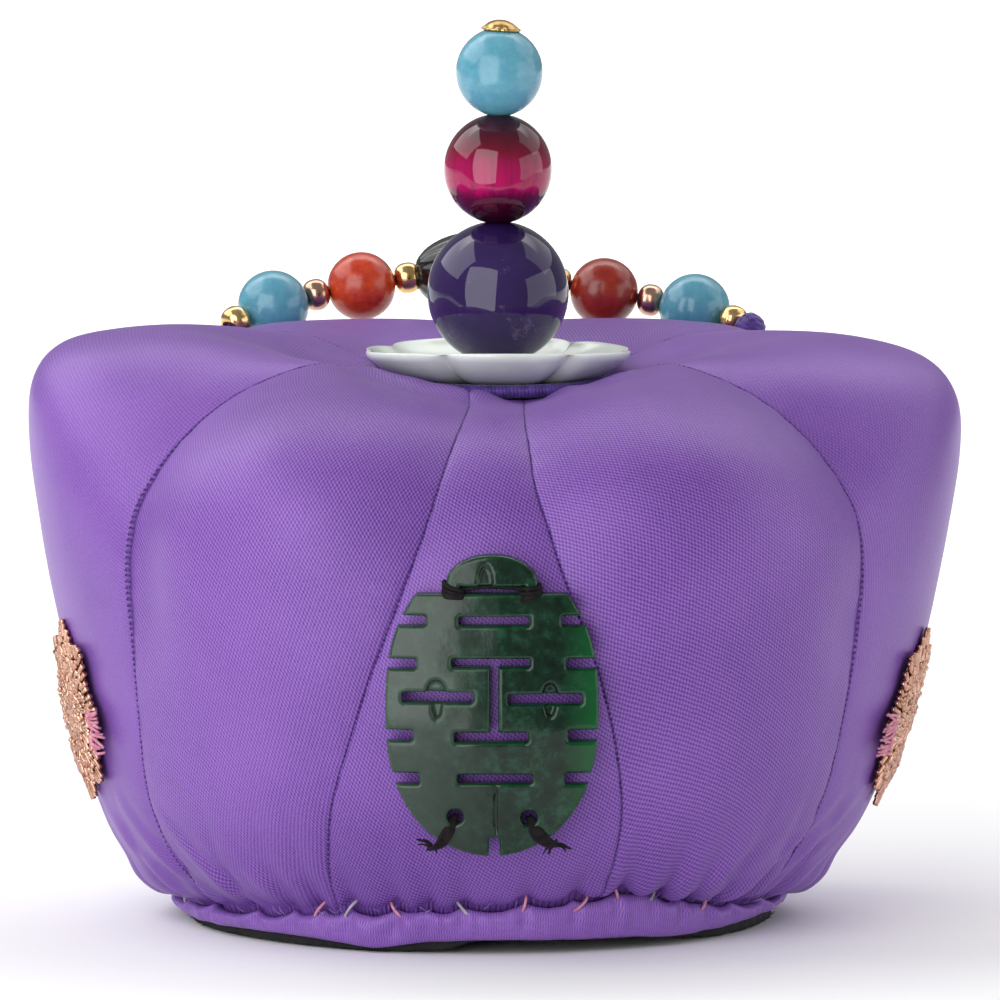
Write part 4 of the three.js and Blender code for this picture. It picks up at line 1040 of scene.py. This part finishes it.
def bead_profile(length, diameter, bore, count, fullness):
    """Half section of a drilled bead, along its axis and out from it. A fullness over 2 makes a barrel."""
    end = math.asin(min(bore / (diameter / 2), 0.9) ** (fullness / 2))
    angles = np.linspace(math.pi - end, end, count)
    along = length / 2 * signed_power(np.cos(angles) / math.cos(end), 2 / fullness)
    out = diameter / 2 * np.sin(angles) ** (2 / fullness)
    lip = [(along[-1] - 0.12, bore * 0.92)]
    hole = [(a, bore * 0.9) for a in np.linspace(along[-1], along[0], 5)[1:-1]]
    return np.array(list(zip(along, out)) + lip + hole)


def make_bead(name, node, material, slot, size, centre, direction, fullness=2, flutes=0):
    """A drilled bead with spiral flutes if any. The size is length, diameter and half the bore."""
    length, diameter, bore = size
    large = diameter > 8
    profile = bead_profile(length, diameter, bore, 49 if large else 25, fullness)
    turn = full_turn(96 if large else 48)
    along, out = profile[:, :1], profile[:, 1:]
    radius = out + 0 * turn
    if flutes:
        lobes = np.abs(np.sin(flutes / 2 * turn + 2.2 * along / length))
        radius = radius - 0.5 * (1 - lobes**0.6) * (out / out.max()) ** 1.5 * (out > bore)
    turned = np.array(Vector((0, 0, 1)).rotation_difference(Vector(direction)).to_matrix())
    points = stack(radius * np.cos(turn), radius * np.sin(turn), along) @ turned.T + centre
    add_rings(name, points, material, slot, (node,))


# Cap: how far it sits below its node and aside, how much it falls to the right, and its crimped edge
CAP_SINK = 0.35
CAP_ASIDE = 0.45
CAP_TILT = 0.07
CAP_CRIMP = 0.035
CAP_CRIMPS = 18
# Finial beads: node, slot, material, radius, and how far they sit aside and below their nodes
FINIAL_BEADS = (
    ("bead_amethyst", "amethyst", AMETHYST, 10.1, 0, 0),
    ("bead_tiger_eye", "tiger_eye", TIGER_EYE, 7.72, 0, 0.3),
    ("bead_turquoise_top", "turquoise", TURQUOISE, 6.2, 0.2, 0.5),
)


def make_finial():
    for node, slot, material, radius, aside, sink in FINIAL_BEADS:
        middle = node_middle(node) + [aside, 0, -sink]
        make_bead(f"polished_{node}", node, material, slot, (2 * radius, 2 * radius, 1.3), middle, (0, 0, 1))
    make_cap()
    make_plate()
    make_cord()
    post_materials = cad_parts["finial_post"].data.materials
    post_materials.clear()
    post_materials.append(POST_METAL)


def make_cap():
    """A small domed cap with a crimped edge, tilted a little."""
    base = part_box("finial_cap")[0][2] / MM - CAP_SINK
    turn = full_turn(96)
    profile = [(0.02, 1.42), (0.6, 1.38), (1.2, 1.22), (1.8, 0.92), (2.25, 0.56), (2.5, 0.3), (2.66, 0.22),
               (2.74, 0.1), (2.7, -0.12), (2.5, -0.2), (2.3, 0.0), (1.5, 0.5), (0.02, 0.7)]
    rows = []
    for radius, height in profile:
        crimp = CAP_CRIMP * smooth((radius - 2.2) / 0.5) * np.cos(CAP_CRIMPS * turn)
        x, y = radius * (1 + crimp) * np.cos(turn), radius * (1 + crimp) * np.sin(turn)
        rows.append(stack(FINIAL_X + CAP_ASIDE + x, y, base + height - CAP_TILT * x))
    add_rings("crimped_cap", rows, CAP_GOLD, "gold", ("finial_cap",))


# Petal plate: angles of its notches, its sizes, and the places along its radius that get a ring of points
PLATE_NOTCHES = (-122, -90, -25, 34, 92, 144)
PLATE_RADIUS = 19.2
PLATE_NOTCH_DEPTH = 1.3
PLATE_UNDERSIDE = 76.5
PLATE_RISE = 4.6
PLATE_THICKNESS = (2.62, 0.8)
PLATE_SHARES = (0.08, 0.3, 0.45, 0.58, 0.68, 0.76, 0.82, 0.87, 0.91, 0.945, 0.97, 0.99)


def make_plate():
    """The jade petal plate: a shallow cup with notched, lipped petals and a vein down each."""
    angle = np.linspace(-180, 180, 360, endpoint=False)
    nearest = np.min([np.abs(wrap(angle - notch)) for notch in PLATE_NOTCHES], axis=0)
    notch = bell(nearest, 7)
    sharp = np.exp(-nearest / 3)
    reach = PLATE_RADIUS - PLATE_NOTCH_DEPTH * (0.6 * notch + 0.4 * sharp)
    droop = 0.65 * np.sin(np.radians(angle)) ** 2 - 0.35 * np.cos(np.radians(angle))

    def surface(share, over):
        """A ring of points at a share of the radius, on the underside (over 0) or the top (over 1)."""
        groove = 0.35 * sharp * smooth((share - 0.45) / 0.4)
        lip = 0.1 * smooth((share - 0.9) / 0.1) * (1 - notch)
        belly = 0.45 * (1 - notch) * np.sin(np.pi * share) ** 2
        height = PLATE_UNDERSIDE + PLATE_RISE * share**4.5 - 0.1 * notch * share**2 - droop * share**3
        thickness = PLATE_THICKNESS[0] + (PLATE_THICKNESS[1] - PLATE_THICKNESS[0]) * share
        top = height + thickness - groove + lip
        bottom = height + groove * 1.2 + 0.25 * notch * share - 0.3 * belly
        return around(angle, reach * share, bottom + (top - bottom) * over, FINIAL_X)

    rows = [surface(share, 0) for share in PLATE_SHARES]
    for over, share in ((0.2, 0.998), (0.5, 1.0), (0.8, 0.998)):
        rows.append((surface(1.0, over) - [FINIAL_X, 0, 0]) * [share, share, 1] + [FINIAL_X, 0, 0])
    rows += [surface(share, 1) for share in reversed(PLATE_SHARES)]
    shares = np.array([*PLATE_SHARES, 1, 1, 1, *reversed(PLATE_SHARES)])[:, None]
    maps = {"petal": stack(notch * shares**3, shares)}
    add_rings("jade_petal_plate", rows, WHITE_JADE, "white_jade", ("petal_plate",), maps)


# Cord under the plate: place of the ring's middle, how far it sits over its node, the ring's radius, half
# the cord's thickness, how far its windings stand out, their number, and its height over its width
CORD_X = 0.8
CORD_Y = -0.4
CORD_LIFT = 0.45
CORD_RADIUS = 13.9
CORD_THICKNESS = 1.12
CORD_WINDING = 0.14
CORD_WINDINGS = 180
CORD_FLATNESS = 0.75


def make_cord():
    """The cord under the plate, whipped with fine thread."""
    main = full_turn(1080)[:, None]
    turn = full_turn(14)
    middle = node_middle("whipped_roll")[2] + CORD_LIFT
    thick = CORD_THICKNESS + CORD_WINDING * np.abs(np.sin(CORD_WINDINGS / 2 * main + 0.5 * turn))
    radius = CORD_RADIUS + thick * np.cos(turn)
    height = middle + CORD_FLATNESS * thick * np.sin(turn)
    points = stack(CORD_X + radius * np.sin(main), CORD_Y - radius * np.cos(main), height)
    add_rings("wound_roll", points, DARK_THREAD, "thread", ("whipped_roll",))


# Strand: the route of its thread, as the CAD has it, then its beads: kind, place, length, diameter and half
# the bore
STRAND_ROUTE = (
    (-41.2, 43.4, 77.2), (-38.3, 46.8, 81.3), (-32, 52, 83.5), (-19.7, 56, 85.9), (-1.7, 58.4, 88),
    (16, 56, 85), (28.4, 53.6, 83), (35, 48.6, 81.4), (38.8, 43, 80.3),
)
STRAND_BEADS = (
    ("gold", "inner", 3.8, 4.6, 0.9), ("coral", "", 9.9, 10.1, 0.9), ("copper", "", 3.7, 4.7, 0.9),
    ("turquoise", "", 10.2, 10.6, 1.15), ("gold", "outer", 3.7, 4.6, 0.9),
)
STRAND_MATERIALS = {"gold": GOLD, "coral": CORAL, "copper": COPPER, "turquoise": TURQUOISE}
BLACK_BEAD_SIZE = (20.0, 12.8, 1.5)


def make_strand():
    """The beads behind the finial and the twisted thread that they hang on."""
    route = curve_through(STRAND_ROUTE, 600)
    for side in ("left", "right"):
        for kind, place, *size in STRAND_BEADS:
            node = "_".join(word for word in ("bead", kind, side, place) if word)
            centre = node_middle(node)
            nearest = int(np.argmin(np.linalg.norm(route - centre, axis=1)))
            near = max(5, int(size[0] / 2 / 0.18))
            direction = route[min(nearest + near, 599)] - route[max(nearest - near, 0)]
            fullness = 2.4 if kind in ("gold", "copper") else 2
            material = DARKER_CORAL if node == "bead_coral_right" else STRAND_MATERIALS[kind]
            make_bead(f"polished_{node}", node, material, kind, size, centre, direction, fullness)
    make_bead("fluted_bead_black", "bead_black", BLACK_GLASS, "black_glass", BLACK_BEAD_SIZE,
              node_middle("bead_black"), route[330] - route[270], flutes=12)
    left, right = node_middle("knot_left"), node_middle("knot_right")
    inside = [p for p in route if left[0] + 1.2 < p[0] < right[0] - 1.2]
    path = curve_through([left, *inside[::12], right], 420)
    ply = np.linspace(0, 60, len(path))
    plies = [0.2 * stack(0, np.cos(ply + shift), np.sin(ply + shift)) for shift in (0, math.pi)]
    parts = [tube(path + offset, 0.25) for offset in plies]
    add_tubes("twisted_strand_thread", parts, DARK_THREAD, "thread", ("strand_thread",))


# Knots: radius of the ball and of its thread, and the lean and turn of the windings
KNOT_RADIUS = 1.85
KNOT_THREAD = 0.4
KNOT_TILTS = ((0, 0), (0.9, 0.3), (1.7, 0.9), (2.5, 1.9), (0.5, 1.3), (1.3, 2.3), (2.1, 2.9), (0.2, 2.2))


def make_knot(side):
    """A ball of thread wound over and under itself."""
    angle = full_turn(40)
    parts = []
    for k, (lean, turn) in enumerate(KNOT_TILTS):
        axis = Vector((math.sin(lean) * math.cos(turn), math.sin(lean) * math.sin(turn), math.cos(lean)))
        wound = np.array(Vector((0, 0, 1)).rotation_difference(axis).to_matrix())
        for level in (-0.8, 0.0, 0.8):
            radius = math.sqrt(KNOT_RADIUS**2 - level**2) * (1 + 0.06 * np.sin(3 * angle + k))
            ring = stack(radius * np.cos(angle), radius * np.sin(angle), level)
            parts.append(tube(ring @ wound.T + node_middle(f"knot_{side}"), KNOT_THREAD, 7, closed=True))
    add_tubes(f"wound_knot_{side}", parts, DARK_THREAD, "thread", (f"knot_{side}",))


# Medallions: angle and height on the crown, size, seeds of the random draws, how far they keep flat where
# the wall is curved, turns and radius of the coiled wire, and numbers of its lengths and of the pink ties
MEDALLIONS = {"left": (-80.5, 30.8), "right": (81, 29.7)}
MEDALLION_WIDTHS = {"left": 24, "right": 21}
MEDALLION_SEEDS = {"left": 11, "right": 12}
TIE_SEEDS = {"left": 21, "right": 22}
MEDALLION_HEIGHT = 26
MEDALLION_STIFFNESS = 0.75
BULLION_PITCH = 0.35
BULLION_RADIUS = 0.44
CHIPS = 300
EDGE_CHIPS = 68
MEDALLION_TIES = 18


def medallion_places(side):
    """A function that turns a place in a medallion's plane, and its height over the cloth, into a point."""
    angle, height = MEDALLIONS[side]
    origin, aside, above, out = wall_frame(angle, height)
    seats = np.zeros((15, 16, 6))
    for i, x in enumerate(range(-14, 15, 2)):
        for j, z in enumerate(range(-15, 16, 2)):
            spot, _, _, face = wall_frame(angle + math.degrees(x / 60), height + z)
            seats[i, j] = [*spot, *face]

    def place(x, z, lift):
        x, z, lift = (np.asarray(value, float)[..., None] for value in (x, z, lift))
        i = np.clip((x + 14) / 2, 0, 13.999)
        j = np.clip((z + 15) / 2, 0, 14.999)
        i0, j0 = i[..., 0].astype(int), j[..., 0].astype(int)
        fi, fj = i - i0[..., None], j - j0[..., None]
        near = seats[i0, j0] * (1 - fi) + seats[i0 + 1, j0] * fi
        far = seats[i0, j0 + 1] * (1 - fi) + seats[i0 + 1, j0 + 1] * fi
        seat = near * (1 - fj) + far * fj
        bent = seat[..., :3] + seat[..., 3:] * lift
        flat = origin + x * aside + z * above + out * lift
        return bent * (1 - MEDALLION_STIFFNESS) + flat * MEDALLION_STIFFNESS
    return place


def bullion(place, x, z, lift):
    """A length of coiled wire: a tube whose thickness swells at each turn of the wire."""
    length = math.hypot(x[1] - x[0], z[1] - z[0])
    count = max(5, int(length / BULLION_PITCH) * 2 + 1)
    x, z, lift = (np.linspace(*ends, count) for ends in (x, z, lift))
    ridges = np.where(np.arange(count) % 2, 1.0, 0.9)
    return tube(place(x, z, lift), BULLION_RADIUS, 7, radius_along=ridges)


def lobed(turn):
    """The medallion's outline: eight lobes round a circle of radius 1."""
    return 1 - 0.09 * (1 - np.cos(8 * turn))


def make_medallion(side):
    """A scalloped ground, made dark so that it paints shade into the gaps, with cut lengths of coiled wire,
    side by side at its edge and scattered inside.
    """
    place = medallion_places(side)
    half_width, half_height = MEDALLION_WIDTHS[side] / 2, MEDALLION_HEIGHT / 2
    turn = full_turn(240)
    shares = np.array([0.02, 0.25, 0.5, 0.75, 0.93, 1.0, 0.93, 0.75, 0.5, 0.25, 0.02])[:, None]
    lifts = np.array([0.6, 0.6, 0.6, 0.6, 0.55, 0.4, 0.25, 0.25, 0.25, 0.25, 0.25])[:, None]
    r = shares * lobed(turn) * 0.96
    base = place(r * half_width * np.cos(turn), r * half_height * np.sin(turn), lifts + 0 * r)
    add_rings(f"medallion_base_{side}", base, GAP_SHADE_GROUND, "gilt_wire", (f"medallion_{side}",))
    chance = np.random.default_rng(MEDALLION_SEEDS[side])
    parts = []
    for k in range(EDGE_CHIPS):
        spot = 2 * math.pi * (k + chance.uniform(-0.15, 0.15)) / EDGE_CHIPS
        reach = float(lobed(spot)) * (np.array([-0.85, 0.85]) / half_width + 0.93)
        lift = 0.62 + chance.uniform(-0.12, 0.12) + np.array([0.12, -0.12])
        x, z = reach * half_width * math.cos(spot), reach * half_height * math.sin(spot)
        parts.append(bullion(place, x, z, lift))
    for k in range(CHIPS):
        share = math.sqrt((k + 0.5) / CHIPS)
        spot = k * math.pi * (3 - math.sqrt(5)) + chance.normal(0, 0.05)
        reach = share * 0.84 * float(lobed(spot))
        x, z = reach * half_width * math.cos(spot), reach * half_height * math.sin(spot)
        lean = spot + chance.normal(0, 0.5)
        ends = np.array([-1, 1]) * chance.uniform(0.5, 0.8)
        swell = 0.85 + 0.2 * (1 - share) + chance.uniform(-0.22, 0.22)
        lift = swell + np.array([-1, 1]) * chance.normal(0, 0.12)
        parts.append(bullion(place, x + ends * math.cos(lean), z + ends * math.sin(lean), lift))
    add_tubes(f"medallion_coils_{side}", parts, GILT_WIRE, "gilt_wire")
    make_medallion_ties(side, place)


def make_medallion_ties(side, place):
    """Pink threads over the medallion's front edge that tie it to the cloth, with short loose ends."""
    forward = 1 if side == "left" else -1
    edge = MEDALLION_WIDTHS[side] / 2
    chance = np.random.default_rng(TIE_SEEDS[side])
    parts = []
    for _ in range(MEDALLION_TIES):
        start_z = chance.uniform(-4.0, 1.2)
        end_z = start_z + chance.normal(-0.6, 1.0)
        start_x = forward * (edge + chance.uniform(-2.2, -1.2))
        end_x = forward * (edge + chance.uniform(0.2, 1.7))
        x = [start_x, (start_x + end_x) / 2, end_x]
        z = [start_z, (start_z + end_z) / 2 + chance.normal(0, 0.4), end_z]
        lift = [1.0, chance.uniform(1.1, 1.7), chance.uniform(0.15, 0.9)]
        parts.append(thread(place(x, z, lift), 10, 0.32, 6, (1, 0.6)))
    add_tubes(f"medallion_ties_{side}", parts, PINK_THREAD, "thread")


# Camera, as the photograph has it
CAMERA_DISTANCE = 1500
CAMERA_ELEVATION = 5.6
CAMERA_LENS = 378
TARGET = (0.8, 0, 59.6)
# Lights: name, azimuth, elevation, distance, width, height and power
LIGHTS = (
    ("softbox", -29, 9, 1000, 980, 1400, 13),
    ("left panel", -104, 42, 1100, 1300, 800, 7),
    ("right panel", 80, 4, 1100, 1300, 900, 5),
    ("top light", 120, 42, 1200, 1300, 800, 3),
)
WORLD_STRENGTH = 0.28
# Light over the far floor: width and height in millimetres and power, spread in degrees, place in metres
FLOOR_LIGHT = (5000, 4000, 85)
FLOOR_LIGHT_SPREAD = 100
FLOOR_LIGHT_PLACE = (0, 2.6, 1.7)
# Floor in metres: half its width, its front edge and its far edge
FLOOR = (6.0, -0.16, 8.0)


def add_aimed(name, data, azimuth, elevation, distance):
    """A camera or lamp that looks at the target. The azimuth runs from the front towards the right."""
    a, e = math.radians(azimuth), math.radians(elevation)
    offset = np.array([math.sin(a) * math.cos(e), -math.cos(a) * math.cos(e), math.sin(e)]) * distance
    thing = bpy.data.objects.new(name, data)
    thing.location = to_frame(np.array(TARGET) + offset)
    direction = Vector(to_frame(TARGET)) - thing.location
    thing.rotation_euler = direction.to_track_quat("-Z", "Y").to_euler()
    bpy.context.collection.objects.link(thing)
    return thing


def area_light(name, width, height, power):
    data = bpy.data.lights.new(name, "AREA")
    data.shape = "RECTANGLE"
    data.size = width * MM
    data.size_y = height * MM
    data.energy = power
    return data


def add_camera():
    data = bpy.data.cameras.new("camera")
    data.lens = CAMERA_LENS
    data.sensor_width = 36
    data.clip_end = 50
    bpy.context.scene.camera = add_aimed("camera", data, 0, CAMERA_ELEVATION, CAMERA_DISTANCE)


def add_surroundings():
    world = bpy.data.worlds.new("studio")
    world.use_nodes = True
    back = world.node_tree.nodes["Background"]
    back.inputs[0].default_value = (1, 1, 1, 1)
    back.inputs[1].default_value = WORLD_STRENGTH
    bpy.context.scene.world = world
    bpy.context.scene.view_settings.view_transform = "Standard"
    for name, azimuth, elevation, distance, width, height, power in LIGHTS:
        add_aimed(name, area_light(name, width, height, power), azimuth, elevation, distance)


def add_floor():
    """A pale floor, and a wide panel over its far part that keeps it as pale as the near part."""
    n = Nodes("pale floor", Roughness=0.9, Specular_IOR_Level=0.1)
    n.colour(n.ramp(n.noise(3, 2), (0.3, (0.94, 0.94, 0.94)), (0.7, (0.96, 0.96, 0.96))))
    mesh = bpy.data.meshes.new("floor")
    half, front, rear = FLOOR
    corners = [(-half, front, 0), (half, front, 0), (half, rear, 0), (-half, rear, 0)]
    mesh.from_pydata(corners, [], [(0, 1, 2, 3)])
    mesh.materials.append(n.material)
    floor = bpy.data.objects.new("floor", mesh)
    bpy.context.collection.objects.link(floor)
    data = area_light("floor light", *FLOOR_LIGHT)
    data.spread = math.radians(FLOOR_LIGHT_SPREAD)
    panel = bpy.data.objects.new("floor light", data)
    panel.location = FLOOR_LIGHT_PLACE
    bpy.context.collection.objects.link(panel)


add_camera()
add_surroundings()
add_floor()
for gore_name in GORES:
    make_gore(gore_name)
make_seam_stitches()
make_rim_band()
make_lining_band()
make_band_stitches()
make_fibres()
make_plaque()
make_plaque_ties()
make_finial()
make_strand()
for side_name in ("left", "right"):
    make_knot(side_name)
    make_medallion(side_name)
